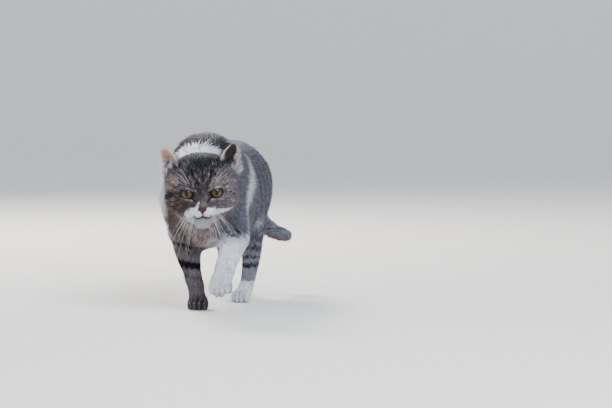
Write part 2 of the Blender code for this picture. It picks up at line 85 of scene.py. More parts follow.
# node: (group, coat depth, tuft spacing, tuft length, tuft width, how much the skin is smoothed)
COAT = {
    "head": (HEAD, 0.0062, 0.00100, 0.0120, 0.0012, 0.40),
    "ear_left": (EARS, 0.0004, 0.00085, 0.0050, 0.0007, 0.04),
    "ear_right": (EARS, 0.0004, 0.00085, 0.0050, 0.0007, 0.04),
    "neck": (NECK, 0.0125, 0.00165, 0.0240, 0.0015, 1.00),
    "chest": (TRUNK, 0.0110, 0.00175, 0.0225, 0.0016, 1.00),
    "belly": (TRUNK, 0.0115, 0.00180, 0.0235, 0.0017, 1.00),
    "rump": (TRUNK, 0.0110, 0.00175, 0.0225, 0.0016, 1.00),
    "foreleg_right": (FORELEG_RIGHT, 0.0045, 0.00115, 0.0110, 0.0013, 0.45),
    "forepaw_right": (FORELEG_RIGHT, 0.0022, 0.00090, 0.0060, 0.0010, 0.20),
    "foreleg_left": (FORELEG_LEFT, 0.0045, 0.00115, 0.0110, 0.0013, 0.45),
    "forepaw_left": (FORELEG_LEFT, 0.0024, 0.00090, 0.0065, 0.0010, 0.20),
    "hindleg_left": (HINDLEG_LEFT, 0.0048, 0.00120, 0.0115, 0.0013, 0.45),
    "hindfoot_left": (HINDLEG_LEFT, 0.0034, 0.00105, 0.0085, 0.0012, 0.35),
    "hindpaw_left": (HINDLEG_LEFT, 0.0022, 0.00090, 0.0060, 0.0010, 0.20),
    "hindleg_right": (HINDLEG_RIGHT, 0.0048, 0.00120, 0.0115, 0.0013, 0.45),
    "hindfoot_right": (HINDLEG_RIGHT, 0.0034, 0.00105, 0.0085, 0.0012, 0.35),
    "hindpaw_right": (HINDLEG_RIGHT, 0.0022, 0.00090, 0.0060, 0.0010, 0.20),
    "tail_root": (TAIL, 0.0085, 0.00150, 0.0190, 0.0018, 0.80),
    "tail_middle": (TAIL, 0.0085, 0.00145, 0.0180, 0.0015, 0.60),
    "tail_end": (TAIL, 0.0070, 0.00140, 0.0170, 0.0016, 0.50),
}
FLESH = tuple(COAT)
NODE = {name: i for i, name in enumerate(FLESH)}

# middle lines of the limbs and tail, from the body outwards
LIMB_LINES = {
    FORELEG_RIGHT: (
        (-0.040, 0.018, 0.150), (-0.037, 0.027, 0.122), (-0.0315, 0.022, 0.101),
        (-0.026, 0.014, 0.081), (-0.0198, 0.007, 0.062), (-0.0145, 0.002, 0.045),
        (-0.010, -0.004, 0.028), (-0.0055, -0.014, 0.0125), (-0.0050, -0.036, 0.006),
    ),
    FORELEG_LEFT: (
        (0.044, 0.014, 0.150), (0.0495, 0.014, 0.121), (0.0512, -0.008, 0.1085),
        (0.0515, -0.034, 0.096), (0.0510, -0.056, 0.0825), (0.0465, -0.066, 0.065),
        (0.0410, -0.064, 0.050), (0.0378, -0.060, 0.0425), (0.0335, -0.062, 0.022),
    ),
    HINDLEG_LEFT: (
        (0.033, 0.262, 0.170), (0.036, 0.226, 0.134), (0.037, 0.224, 0.110), (0.036, 0.233, 0.087),
        (0.0345, 0.237, 0.066), (0.0345, 0.221, 0.047), (0.0358, 0.196, 0.029),
        (0.0345, 0.149, 0.0115), (0.0340, 0.128, 0.006),
    ),
    HINDLEG_RIGHT: (
        (-0.036, 0.268, 0.165), (-0.0395, 0.268, 0.134), (-0.039, 0.296, 0.114),
        (-0.0365, 0.330, 0.099), (-0.0345, 0.356, 0.085), (-0.034, 0.368, 0.063),
        (-0.034, 0.374, 0.038), (-0.0345, 0.352, 0.0115), (-0.0345, 0.330, 0.006),
    ),
    TAIL: (
        (0.000, 0.340, 0.228), (0.000, 0.352, 0.228), (-0.002, 0.381, 0.212), (0.001, 0.401, 0.182),
        (0.008, 0.408, 0.150), (0.022, 0.403, 0.121), (0.042, 0.389, 0.1040),
        (0.061, 0.375, 0.0985), (0.074, 0.367, 0.0965), (0.090, 0.356, 0.0955),
    ),
}
EAR_ROOT = {-1: (-0.0400, 0.0480, 0.0270), 1: (0.0400, 0.0480, 0.0270)}


# ---- stage ----
CAMERA_PLACE, CAMERA_AIM = Vector((1.0521, -5.4567, 0.4525)), Vector((0.155, -0.099, 0.168))
CAMERA_LENS = 200.0  # millimetres
# soft lights: (name, place, aim, size, power, colour)
SOFT_LIGHTS = (
    ("key", (1.9, -2.4, 2.3), (0, 0, 0.15), 1.8, 155.0, (0.95, 0.97, 1.0)),
    ("fill", (-2.4, -2.2, 0.9), (0, 0, 0.15), 2.2, 14.0, (1.0, 0.96, 0.92)),
    ("rim", (-1.3, 2.0, 1.9), (0, 0, 0.2), 0.8, 120.0, (1.0, 0.93, 0.85)),
)
ROOM_COLOUR = (0.86, 0.92, 1.0)
FLOOR_COLOUR = (0.80, 0.79, 0.77)
FLOOR_FRONT, FLOOR_BACK, FLOOR_HALF_WIDTH = -9.0, 6.0, 12.0
SWEEP_RADIUS, SWEEP_STEPS = 3.0, 8  # the curve from floor to backdrop


def placed(name, data):
    """A new object in the scene."""
    made = bpy.data.objects.new(name, data)
    bpy.context.scene.collection.objects.link(made)
    return made


def camera_at(place, aim, lens):
    data = bpy.data.cameras.new("camera")
    data.lens = lens
    data.sensor_width = 36.0
    data.clip_end = 60.0
    camera = placed("camera", data)
    camera.location = place
    camera.rotation_euler = (aim - place).to_track_quat("-Z", "Y").to_euler()
    bpy.context.scene.camera = camera


def soft_light(name, place, aim, size, power, colour):
    data = bpy.data.lights.new(name, "AREA")
    data.shape = "DISK"
    data.size = size
    data.energy = power
    data.color = colour
    light = placed(name, data)
    light.location = place
    light.rotation_euler = (Vector(aim) - Vector(place)).to_track_quat("-Z", "Y").to_euler()


def floor_and_backdrop():
    """A pale floor that sweeps up into a backdrop far behind the cat."""
    profile = [(FLOOR_FRONT, 0.0), (FLOOR_BACK, 0.0)]
    for step in range(1, SWEEP_STEPS + 1):
        angle = math.radians(90 * step / SWEEP_STEPS)
        rise = SWEEP_RADIUS - SWEEP_RADIUS * math.cos(angle)
        profile.append((FLOOR_BACK + SWEEP_RADIUS * math.sin(angle), rise))
    profile.append((FLOOR_BACK + SWEEP_RADIUS, 3 * SWEEP_RADIUS))
    verts, faces = [], []
    for y, z in profile:
        verts += [(-FLOOR_HALF_WIDTH, y, z), (FLOOR_HALF_WIDTH, y, z)]
    for i in range(len(profile) - 1):
        faces.append((2 * i, 2 * i + 1, 2 * i + 3, 2 * i + 2))
    mesh = bpy.data.meshes.new("floor")
    mesh.from_pydata(verts, [], faces)
    mesh.shade_smooth()
    mesh.materials.append(shaded("pale_floor", 0.9, Base_Color=FLOOR_COLOUR)[0])
    placed("floor", mesh)


def studio():
    floor_and_backdrop()
    camera_at(CAMERA_PLACE, CAMERA_AIM, CAMERA_LENS)
    for light in SOFT_LIGHTS:
        soft_light(*light)
    world = bpy.data.worlds.new("room")
    world.use_nodes = True
    background = world.node_tree.nodes["Background"]
    background.inputs["Color"].default_value = (*ROOM_COLOUR, 1.0)
    background.inputs["Strength"].default_value = 1.0
    bpy.context.scene.world = world


# ---- mesh arrays ----
def triangles_of(mesh):
    mesh.calc_loop_triangles()
    verts = np.empty(len(mesh.vertices) * 3)
    mesh.vertices.foreach_get("co", verts)
    tris = np.empty(len(mesh.loop_triangles) * 3, dtype=np.int64)
    mesh.loop_triangles.foreach_get("vertices", tris)
    return verts.reshape(-1, 3), tris.reshape(-1, 3)


def mesh_from(name, verts, tris):
    """A triangle mesh from arrays."""
    mesh = bpy.data.meshes.new(name)
    mesh.vertices.add(len(verts))
    mesh.vertices.foreach_set("co", np.ascontiguousarray(verts, dtype=np.float32).ravel())
    mesh.loops.add(len(tris) * 3)
    mesh.loops.foreach_set("vertex_index", np.ascontiguousarray(tris, dtype=np.int32).ravel())
    mesh.polygons.add(len(tris))
    mesh.polygons.foreach_set("loop_start", np.arange(0, len(tris) * 3, 3, dtype=np.int32))
    mesh.update(calc_edges=True)
    return mesh


def object_from(name, verts, tris):
    """An object in the model's frame, smooth shaded, from arrays in the maker's frame."""
    made = placed(name, mesh_from(name, verts + SHIFT, tris))
    made.data.shade_smooth()
    return made


def float_attribute(mesh, name, values):
    values = np.ascontiguousarray(values, dtype=np.float32)
    mesh.attributes.new(name, "FLOAT", "POINT").data.foreach_set("value", values)


def colour_attribute(mesh, name, values):
    four = np.ones((len(values), 4), dtype=np.float32)
    four[:, : values.shape[1]] = values
    mesh.attributes.new(name, "FLOAT_COLOR", "POINT").data.foreach_set("color", four.ravel())


def evaluated_mesh(carrier):
    """The carrier's mesh with its modifiers applied."""
    graph = bpy.context.evaluated_depsgraph_get()
    return bpy.data.meshes.new_from_object(carrier.evaluated_get(graph))


def with_modifier(verts, tris, kind, **settings):
    """Runs one modifier over arrays and returns the new arrays."""
    carrier = placed("carrier", mesh_from("carrier", verts, tris))
    modifier = carrier.modifiers.new("step", kind)
    for name, value in settings.items():
        setattr(modifier, name, value)
    result = evaluated_mesh(carrier)
    found = triangles_of(result)
    bpy.data.objects.remove(carrier)
    bpy.data.meshes.remove(result)
    return found


def unit(vectors):
    return vectors / np.maximum(np.linalg.norm(vectors, axis=-1, keepdims=True), 1e-12)


def vertex_normals(verts, tris):
    a, b, c = verts[tris[:, 0]], verts[tris[:, 1]], verts[tris[:, 2]]
    face = np.cross(b - a, c - a)
    total = np.zeros_like(verts)
    for corner in range(3):
        for axis in range(3):
            weights = face[:, axis]
            total[:, axis] += np.bincount(tris[:, corner], weights=weights, minlength=len(verts))
    return unit(total)


def edges_of(tris):
    pairs = np.vstack([tris[:, [0, 1]], tris[:, [1, 2]], tris[:, [2, 0]]])
    pairs.sort(axis=1)
    size = int(pairs.max()) + 1
    keys = np.unique(pairs[:, 0] * size + pairs[:, 1])
    return np.stack([keys // size, keys % size], axis=1)


def relaxed(values, edges, rounds, strength=0.5):
    """Evens values out over the mesh's edges; strength may differ from place to place."""
    values = np.array(values, dtype=np.float64)
    flat = values.ndim == 1
    if flat:
        values = values[:, None]
    count = np.maximum(np.bincount(edges.ravel(), minlength=len(values)), 1).astype(float)[:, None]
    pull = strength if np.isscalar(strength) else strength[:, None]
    first, second = edges[:, 0], edges[:, 1]
    for _ in range(rounds):
        total = np.empty_like(values)
        for k in range(values.shape[1]):
            total[:, k] = np.bincount(first, weights=values[second, k], minlength=len(values))
            total[:, k] += np.bincount(second, weights=values[first, k], minlength=len(values))
        values += (total / count - values) * pull
    return values[:, 0] if flat else values


def refined(verts, tris, data, labels, target, passes):
    """Splits edges longer than their target length; data rows and labels follow the vertices."""
    for _ in range(passes):
        edges = edges_of(tris)
        middle = (verts[edges[:, 0]] + verts[edges[:, 1]]) / 2
        length = np.linalg.norm(verts[edges[:, 0]] - verts[edges[:, 1]], axis=1)
        split = length > 1.35 * target(middle)
        if not split.any():
            break
        size = len(verts)
        keys = edges[:, 0] * size + edges[:, 1]
        number = np.full(len(edges), -1)
        number[split] = size + np.arange(split.sum())
        verts = np.vstack([verts, middle[split]])
        data = np.vstack([data, (data[edges[split, 0]] + data[edges[split, 1]]) / 2])
        labels = np.concatenate([labels, labels[edges[split, 0]]])
        mids = []
        for first, second in ((0, 1), (1, 2), (2, 0)):
            pair = np.sort(tris[:, [first, second]], axis=1)
            mids.append(number[np.searchsorted(keys, pair[:, 0] * size + pair[:, 1])])
        mids = np.stack(mids, axis=1)
        count = (mids >= 0).sum(axis=1)
        parts = [tris[count == 0]]
        whole = count == 3
        a, b, c = tris[whole].T
        ab, bc, ca = mids[whole].T
        parts += [np.stack(t, axis=1) for t in ((a, ab, ca), (ab, b, bc), (ca, bc, c), (ab, bc, ca))]
        for turn in range(3):
            one = (count == 1) & (mids[:, turn] >= 0)
            a, b, c = (tris[one, (turn + k) % 3] for k in range(3))
            m = mids[one, turn]
            parts += [np.stack((a, m, c), axis=1), np.stack((m, b, c), axis=1)]
            two = (count == 2) & (mids[:, turn] < 0)
            a, b, c = (tris[two, (turn + k) % 3] for k in range(3))
            bc, ca = mids[two, (turn + 1) % 3], mids[two, (turn + 2) % 3]
            parts += [np.stack(t, axis=1) for t in ((a, b, bc), (a, bc, ca), (ca, bc, c))]
        tris = np.vstack(parts)
    return verts, tris, data, labels


def most(*values):
    """The greatest of several arrays, place by place."""
    return functools.reduce(np.maximum, values)


def smoothstep(low, high, x):
    t = np.clip((x - low) / (high - low), 0.0, 1.0)
    return t * t * (3 - 2 * t)


def bell(x, width):
    """1 at zero, falling away to both sides."""
    return np.exp(-((x / width) ** 2))


def lattice_value(cells, seed):
    """A repeatable number from 0 to 1 for every whole-number cell."""
    h = (cells[..., 0] * 73856093) ^ (cells[..., 1] * 19349663)
    h = h ^ (cells[..., 2] * 83492791) ^ (seed * 40503)
    h = ((h ^ (h >> 13)) * 1274126177) & 0x7FFFFFFF
    h = ((h ^ (h >> 15)) * 668265263) & 0x7FFFFFFF
    return (h >> 7) / float(0xFFFFFF)


def cloud(points, size, seed=0):
    """Smooth repeatable noise from 0 to 1; size is the width of one patch."""
    scaled = points / size
    base = np.floor(scaled).astype(np.int64)
    part = scaled - base
    part = part * part * (3 - 2 * part)
    total = np.zeros(len(points))
    for dx in (0, 1):
        for dy in (0, 1):
            for dz in (0, 1):
                corner = lattice_value(base + np.array((dx, dy, dz)), seed)
                wx = part[:, 0] if dx else 1 - part[:, 0]
                wy = part[:, 1] if dy else 1 - part[:, 1]
                wz = part[:, 2] if dz else 1 - part[:, 2]
                total += corner * wx * wy * wz
    return total


def in_head(places):
    return places @ HEAD_INVERSE[:3, :3].T + HEAD_INVERSE[:3, 3]


def out_of_head(places):
    return places @ HEAD_MATRIX[:3, :3].T + HEAD_MATRIX[:3, 3]


def nearest_on_line(points, line):
    """Distance to a bent line, how far along it from 0 to 1, and its heading there."""
    line = np.array(line, float)
    steps = np.linalg.norm(np.diff(line, axis=0), axis=1)
    starts = np.concatenate([[0], np.cumsum(steps)])
    best = np.full(len(points), FAR)
    along = np.zeros(len(points))
    heading = np.zeros_like(points)
    for i, step in enumerate(steps):
        way = (line[i + 1] - line[i]) / step
        reach = np.clip((points - line[i]) @ way, 0, step)
        gap = np.linalg.norm(points - line[i] - reach[:, None] * way, axis=1)
        nearer = gap < best
        best[nearer] = gap[nearer]
        along[nearer] = (starts[i] + reach[nearer]) / starts[-1]
        heading[nearer] = way
    return best, along, heading


def nearest_on(tree, points):
    """The nearest place on a surface to each point, and the triangle it is on."""
    found = [tree.find_nearest(point) for point in points.tolist()]
    return np.array([tuple(hit[0]) for hit in found]), np.array([hit[2] for hit in found])


# ---- skin ----
SKIN_VOXEL, SKIN_KEPT = 0.0015, 0.24  # the grid it is melted on, and the share of faces kept
NODE_MARGIN = 0.006  # how far outside a node's box a place can still be its own
# the longest edge of the skin on the body, face, lids and mouth
BODY_EDGE, FACE_EDGE, LID_EDGE, MOUTH_EDGE = 0.0030, 0.0013, 0.00058, 0.00075
# spots in the head's frame
NOSE_FRONT, FACE_MIDDLE = (0.0, -0.016, -0.022), (0.0, 0.0, -0.012)
# the face's tuft spacing, length and width: (at the nose, how much more at the back of the head)
FACE_COAT = ((0.00056, 0.00055), (0.0028, 0.0105), (0.00055, 0.00070))
# how much less deep and long the body's coat is where a limb starts, how near the limb's line
# that is, and how low: (none beyond, whole within)
LIMB_THINNER, LIMB_SHORTER = 0.0050, 0.0080
LIMB_REACH, LIMB_TOP = (0.046, 0.034), (0.140, 0.112)
SOLE_HEIGHTS = (0.0035, 0.0008)  # the coat gets thin from the first height down to the second
CLEFT_DEPTH, PAD_HEIGHT = 0.0024, 0.0010


def melted_flesh():
    """The CAD's flesh, eyes and nose as one closed surface in the maker's frame."""
    all_verts, all_tris, start = [], [], 0
    for node in FLESH + ("eye_left", "eye_right", "nose"):
        verts, tris = triangles_of(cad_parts[node].data)
        all_verts.append(verts - SHIFT)
        all_tris.append(tris + start)
        start += len(verts)
    verts, tris = with_modifier(
        np.vstack(all_verts), np.vstack(all_tris), "REMESH", mode="VOXEL", voxel_size=SKIN_VOXEL
    )
    return with_modifier(*biggest_body(verts, tris), "DECIMATE", ratio=SKIN_KEPT)


def connected(count, edges):
    """A label for every vertex, the same all over each connected part."""
    label = np.arange(count)
    while True:
        low = np.minimum(label[edges[:, 0]], label[edges[:, 1]])
        new = label.copy()
        np.minimum.at(new, edges[:, 0], low)
        np.minimum.at(new, edges[:, 1], low)
        new = new[new]
        if (new == label).all():
            return label
        label = new


def biggest_body(verts, tris):
    """Keeps the largest connected surface."""
    label = connected(len(verts), edges_of(tris))
    names, counts = np.unique(label, return_counts=True)
    keep = label == names[counts.argmax()]
    index = np.cumsum(keep) - 1
    return verts[keep], index[tris[keep[tris].all(axis=1)]]


def node_of(points):
    """For every point, the index in FLESH of the nearest CAD node."""
    best = np.full(len(points), FAR)
    owner = np.zeros(len(points), dtype=int)
    for i, node in enumerate(FLESH):
        low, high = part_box(node)
        low = np.array(low) - SHIFT - NODE_MARGIN
        high = np.array(high) - SHIFT + NODE_MARGIN
        near = np.where(((points > low) & (points < high)).all(axis=1))[0]
        verts, tris = triangles_of(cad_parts[node].data)
        tree = BVHTree.FromPolygons((verts - SHIFT).tolist(), tris.tolist())
        gaps = np.array([tree.find_nearest(point)[3] for point in points[near].tolist()])
        nearer = gaps < best[near]
        best[near[nearer]] = gaps[nearer]
        owner[near[nearer]] = i
    return owner


def gap_to(places, spot):
    """How far each place is from one spot."""
    return np.linalg.norm(places - np.array(spot), axis=1)


def head_depths(points):
    """The coat's depth over the head: thinnest on the nose, thick on the cheeks and at the back."""
    place = in_head(points)
    reach = gap_to(place, NOSE_FRONT)
    depth = 0.0009 + 0.0056 * smoothstep(0.008, 0.080, reach)
    aside, low = smoothstep(0.030, 0.050, np.abs(place[:, 0])), smoothstep(0.012, -0.010, place[:, 2])
    depth += 0.0035 * aside * low
    high, ahead = smoothstep(0.020, 0.034, place[:, 2]), smoothstep(0.050, 0.020, place[:, 1])
    depth -= 0.0012 * high * ahead
    eye = np.minimum(*(gap_to(place, (side * EYE_X, 0.0, 0.0)) for side in SIDES))
    beside_eye = np.minimum(depth, 0.0009 + 0.06 * np.maximum(eye - 0.011, 0))
    return np.where(eye < 0.022, beside_eye, depth), reach


def skin_target(points):
    """How long an edge of the skin may be at each place."""
    place = in_head(points)
    target = np.where(gap_to(place, FACE_MIDDLE) < 0.048, FACE_EDGE, BODY_EDGE)
    for side in SIDES:
        eye = gap_to(place, (side * EYE_X, -0.001, 0.0))
        target = np.where(eye < 0.0165, LID_EDGE, target)
    mouth = np.hypot(place[:, 0], place[:, 2] + 0.033)
    return np.where((mouth < 0.015) & (place[:, 1] < 0.004), MOUTH_EDGE, target)


# the eye opening: half widths outwards and inwards, half heights above and below, and how square
# it is on its outer side and on its inner side above and below
LID_WIDTHS, LID_HEIGHTS, LID_POWERS = (0.0090, 0.0100), (0.0051, 0.0067), (2.15, 1.95, 1.65)
# the lids clear the eyeball by this, are this thick, and have a fold; behind them is the socket
LID_GAP, LID_THICKNESS, FOLD_DEPTH, SOCKET_GAP, SOCKET_DEPTH = 0.0001, 0.0012, 0.0007, 0.0003, 0.0042


def lid_outline(angle):
    """The eye opening's radius by direction: 0 is outwards, a half turn is the inner corner."""
    across, rise = np.cos(angle), np.sin(angle)
    wide, high = np.where(across > 0, *LID_WIDTHS), np.where(rise > 0, *LID_HEIGHTS)
    outer, above, below = LID_POWERS
    power = np.where(across > 0, outer, np.where(rise > 0, above, below))
    return (np.abs(across / wide) ** power + np.abs(rise / high) ** power) ** (-1 / power)


def eye_axes(side):
    """An eyeball's middle and its outward, upward and forward directions, in the head's frame."""
    middle = np.array((side * EYE_X, EYE_Y, 0.0))
    forward = np.array((side * math.sin(EYE_SPLAY), -math.cos(EYE_SPLAY), 0.0))
    outward = np.array((side * math.cos(EYE_SPLAY), math.sin(EYE_SPLAY), 0.0))
    upward = np.array((0.0, 0.0, 1.0))
    level, lift = math.cos(EYE_TILT), math.sin(EYE_TILT)
    return middle, outward * level + upward * lift, upward * level - outward * lift, forward


def lid_place(place, side):
    """How far each place is from an eye's middle, as a share of the opening, and which way."""
    middle, outward, upward, forward = eye_axes(side)
    spoke = unit(place - middle)
    across, rise = spoke @ outward * EYE_RADIUS, spoke @ upward * EYE_RADIUS
    angle = np.arctan2(rise, across)
    share = np.hypot(across, rise) / lid_outline(angle)
    share = np.where(spoke @ forward > 0.05, share, FAR)
    return np.where(gap_to(place, middle) < 0.024, share, FAR), angle


def wrap_eyelids(place, side):
    """Lays the skin round an eyeball as lids with an edge, a fold above and a socket behind."""
    middle, outward, upward, forward = eye_axes(side)
    share, angle = lid_place(place, side)
    snapped = np.where(np.abs(share - 1) < 0.045, 1.0, share)
    near = share < 2.2
    rim = lid_outline(angle) * snapped
    across, rise = rim * np.cos(angle) / EYE_RADIUS, rim * np.sin(angle) / EYE_RADIUS
    ahead = np.sqrt(np.maximum(1 - across**2 - rise**2, 0.02))
    spoke = unit(across[:, None] * outward + rise[:, None] * upward + ahead[:, None] * forward)
    far = gap_to(place, middle)
    lid = EYE_RADIUS + LID_GAP + LID_THICKNESS * smoothstep(1.0, 1.12, snapped)
    lid -= FOLD_DEPTH * bell(share - 1.42, 0.10) * smoothstep(-0.1, 0.5, np.sin(angle))
    blend = smoothstep(1.20, 1.95, share)
    outside = lid * (1 - blend) + far * blend
    inside = EYE_RADIUS - SOCKET_GAP - SOCKET_DEPTH * smoothstep(1.0, 0.84, snapped)
    radius = np.where(snapped < 1, inside, outside)
    settled = middle + np.where(blend[:, None] < 0.01, spoke, unit(place - middle)) * radius[:, None]
    return np.where(near[:, None], settled, place)


def groove_gap(place, path):
    """Distance in the face's plane (X, Z) to a bent line."""
    flat = place * np.array((1.0, 0.0, 1.0))
    return nearest_on_line(flat, [(x, 0.0, z) for x, z in path])[0]


# lines on the face as (X, Z) in the head's frame
MOUTH = (
    (-0.0090, -0.0374), (-0.0058, -0.0371), (-0.0028, -0.0359), (0.0, -0.0340),
    (0.0028, -0.0359), (0.0058, -0.0371), (0.0090, -0.0374),
)
PHILTRUM = ((0.0, -0.0270), (0.0, -0.0345))
NOSE_BED = ((-0.0046, -0.0205), (0.0046, -0.0205), (0.0, -0.0270), (-0.0046, -0.0205))
# grooves pressed along them: (line, width, depth), and the lips raised beside the mouth's
GROOVES = ((MOUTH, 0.0010, 0.0022), (PHILTRUM, 0.0008, 0.0012), (NOSE_BED, 0.0030, 0.0012))
LIP_OFFSET, LIP_WIDTH, LIP_HEIGHT = 0.0022, 0.0012, 0.0005


def shape_face(places):
    """Eyelids, mouth line, philtrum and the nose's bed."""
    place = in_head(places)
    for side in SIDES:
        place = wrap_eyelids(place, side)
    front = smoothstep(0.010, 0.0, place[:, 1])
    place[:, 1] += sum(
        deep * (bell(groove_gap(place, path), width) * front) for path, width, deep in GROOVES
    )
    lip = bell(groove_gap(place, MOUTH) - LIP_OFFSET, LIP_WIDTH) * front
    place[:, 1] -= LIP_HEIGHT * lip
    return out_of_head(place)


# paws: (middle of the toes, heading about Z, pitch about X, width)
PAWS = {
    FORELEG_RIGHT: ((-0.0052, -0.0150, 0.0125), math.radians(2), 0.0, 1.0),
    FORELEG_LEFT: ((0.0378, -0.0600, 0.0425), math.radians(14), math.radians(84), 1.0),
    HINDLEG_LEFT: ((0.0345, 0.1490, 0.0120), math.radians(-6), 0.0, 0.94),
    HINDLEG_RIGHT: ((-0.0345, 0.3510, 0.0120), math.radians(2), 0.0, 0.94),
}
PAW_HALF_WIDTH, PAD_SPREAD = 0.01725, 0.0155
TOE_PAD, BROAD_PAD = (0.0034, 0.0046), (0.0088, 0.0056)  # half widths across and along the paw
# toes: how far across, as a share of the paw's half width, and where the toe ends along it
TOES = ((-0.70, -0.0035), (-0.245, -0.0095), (0.245, -0.0095), (0.70, -0.0035))
CLEFTS, CLEFT_WIDTH = (-0.4725, 0.0, 0.4725), 0.105


def paw_turn(paw):
    """A paw's own axes, as the columns of a matrix."""
    _, heading, pitch, _ = PAWS[paw]
    return np.array(Matrix.Rotation(heading, 3, "Z") @ Matrix.Rotation(pitch, 3, "X"))


def in_paw(points, paw):
    """Places in a paw's own frame, across as a share of its half width, and 1 near that paw."""
    middle, _, _, width = PAWS[paw]
    place = (points - np.array(middle)) @ paw_turn(paw)
    near = smoothstep(0.030, 0.024, np.linalg.norm(place, axis=1))
    return place / np.array((PAW_HALF_WIDTH * width, 1.0, 1.0)), near


def toe_clefts(points):
    """1 in the clefts between the toes of every paw."""
    cleft = np.zeros(len(points))
    for paw in PAWS:
        place, near = in_paw(points, paw)
        ahead = near * smoothstep(0.001, -0.007, place[:, 1])
        for across in CLEFTS:
            cleft = np.maximum(cleft, ahead * bell(place[:, 0] - across, CLEFT_WIDTH))
    return cleft


def toe_ends(points):
    """1 on the front of the toes of every paw."""
    ends = np.zeros(len(points))
    for paw in PAWS:
        place, near = in_paw(points, paw)
        ends = np.maximum(ends, near * smoothstep(-0.004, -0.011, place[:, 1]))
    return ends


def paw_pads(points, normals):
    """1 on the bare pads under every paw: one to each toe and the broad one behind them."""
    pads = np.zeros(len(points))
    for paw in PAWS:
        place, near = in_paw(points, paw)
        under = near * smoothstep(-0.30, -0.60, (normals @ paw_turn(paw))[:, 2])
        wide, long = TOE_PAD
        for across, ahead in TOES:
            gap = np.hypot((place[:, 0] - across) * PAD_SPREAD / wide, (place[:, 1] - ahead) / long)
            pads = np.maximum(pads, under * smoothstep(1.12, 0.90, gap))
        wide, long = BROAD_PAD
        gap = np.hypot(place[:, 0] * PAD_SPREAD / wide, (place[:, 1] - 0.0060) / long)
        pads = np.maximum(pads, under * smoothstep(1.10, 0.92, gap))
    return pads


def lie_of_coat(points, normals, share):
    """Which way the hairs lie at each place, along the skin."""
    place = in_head(points)
    flow = unit(place - np.array((0.0, -0.026, -0.020)))
    aside, low = smoothstep(0.020, 0.045, np.abs(place[:, 0])), smoothstep(0.02, -0.01, place[:, 2])
    flow[:, 2] -= 0.25 * aside * low
    away = unit(flow) @ HEAD_MATRIX[:3, :3].T
    front = smoothstep(0.15, 0.75, -normals[:, 1])
    flank = (1 - normals[:, 2] ** 2) * 0.45
    trunk = np.stack([np.zeros(len(points)), np.ones(len(points)), -flank], axis=1)
    down = np.tile(np.array((0.0, 0.25, -1.0)), (len(points), 1))
    trunk = trunk * (1 - front)[:, None] + down * front[:, None]
    sinking = -0.75 * (1 - normals[:, 2] ** 2)
    neck = np.stack([0.25 * normals[:, 0], np.ones(len(points)), sinking], axis=1)
    way = share[:, [HEAD]] * away + share[:, [TRUNK]] * unit(trunk) + share[:, [NECK]] * unit(neck)
    for limb, line in LIMB_LINES.items():
        way += share[:, [limb]] * nearest_on_line(points, line)[2]
    for side, root in EAR_ROOT.items():
        own = (place[:, 0] * side > 0)[:, None]
        rise = unit(place - np.array(root) + np.array((0, 0, 0.02))) @ HEAD_MATRIX[:3, :3].T
        way += share[:, [EARS]] * own * rise
    return along_skin(way, normals)


def along_skin(way, normals):
    """Directions laid flat on the skin."""
    return unit(way - normals * (way * normals).sum(axis=1, keepdims=True))


def coat_numbers(verts, edges, node):
    """The shares of the groups at each vertex, its coat's four numbers, and how much it is ear."""
    table = np.array([COAT[name] for name in FLESH])[node]
    owner = table[:, 0].astype(int)
    share = np.eye(len(GROUPS))[owner]
    ear = relaxed(share[:, EARS], edges, 2)
    depths, reach = head_depths(verts)
    on_face = owner == HEAD
    table[:, 1] = np.where(on_face, depths, table[:, 1])
    close = smoothstep(0.010, 0.075, reach)
    for column, (least, more) in enumerate(FACE_COAT, 2):
        table[on_face, column] = least + more * close[on_face]
    for limb in PAWS:
        gap = nearest_on_line(verts, LIMB_LINES[limb])[0]
        low = smoothstep(*LIMB_TOP, verts[:, 2])
        upper = (owner == TRUNK) * smoothstep(*LIMB_REACH, gap) * low
        table[:, 1] -= upper * LIMB_THINNER
        table[:, 3] -= upper * LIMB_SHORTER
        share[:, limb] = np.maximum(share[:, limb], upper * 3.0)
    share /= share.sum(axis=1, keepdims=True)
    rounds = relaxed(np.hstack([share, table[:, 1:5]]), edges, 14)
    share = rounds[:, : len(GROUPS)] * (1 - ear[:, None])
    share[:, EARS] = ear
    share /= share.sum(axis=1, keepdims=True)
    numbers = rounds[:, len(GROUPS) :] * (1 - ear[:, None]) + table[:, 1:5] * ear[:, None]
    numbers[:, 0] *= 1 - 0.75 * smoothstep(*SOLE_HEIGHTS, verts[:, 2])
    return share, numbers, ear


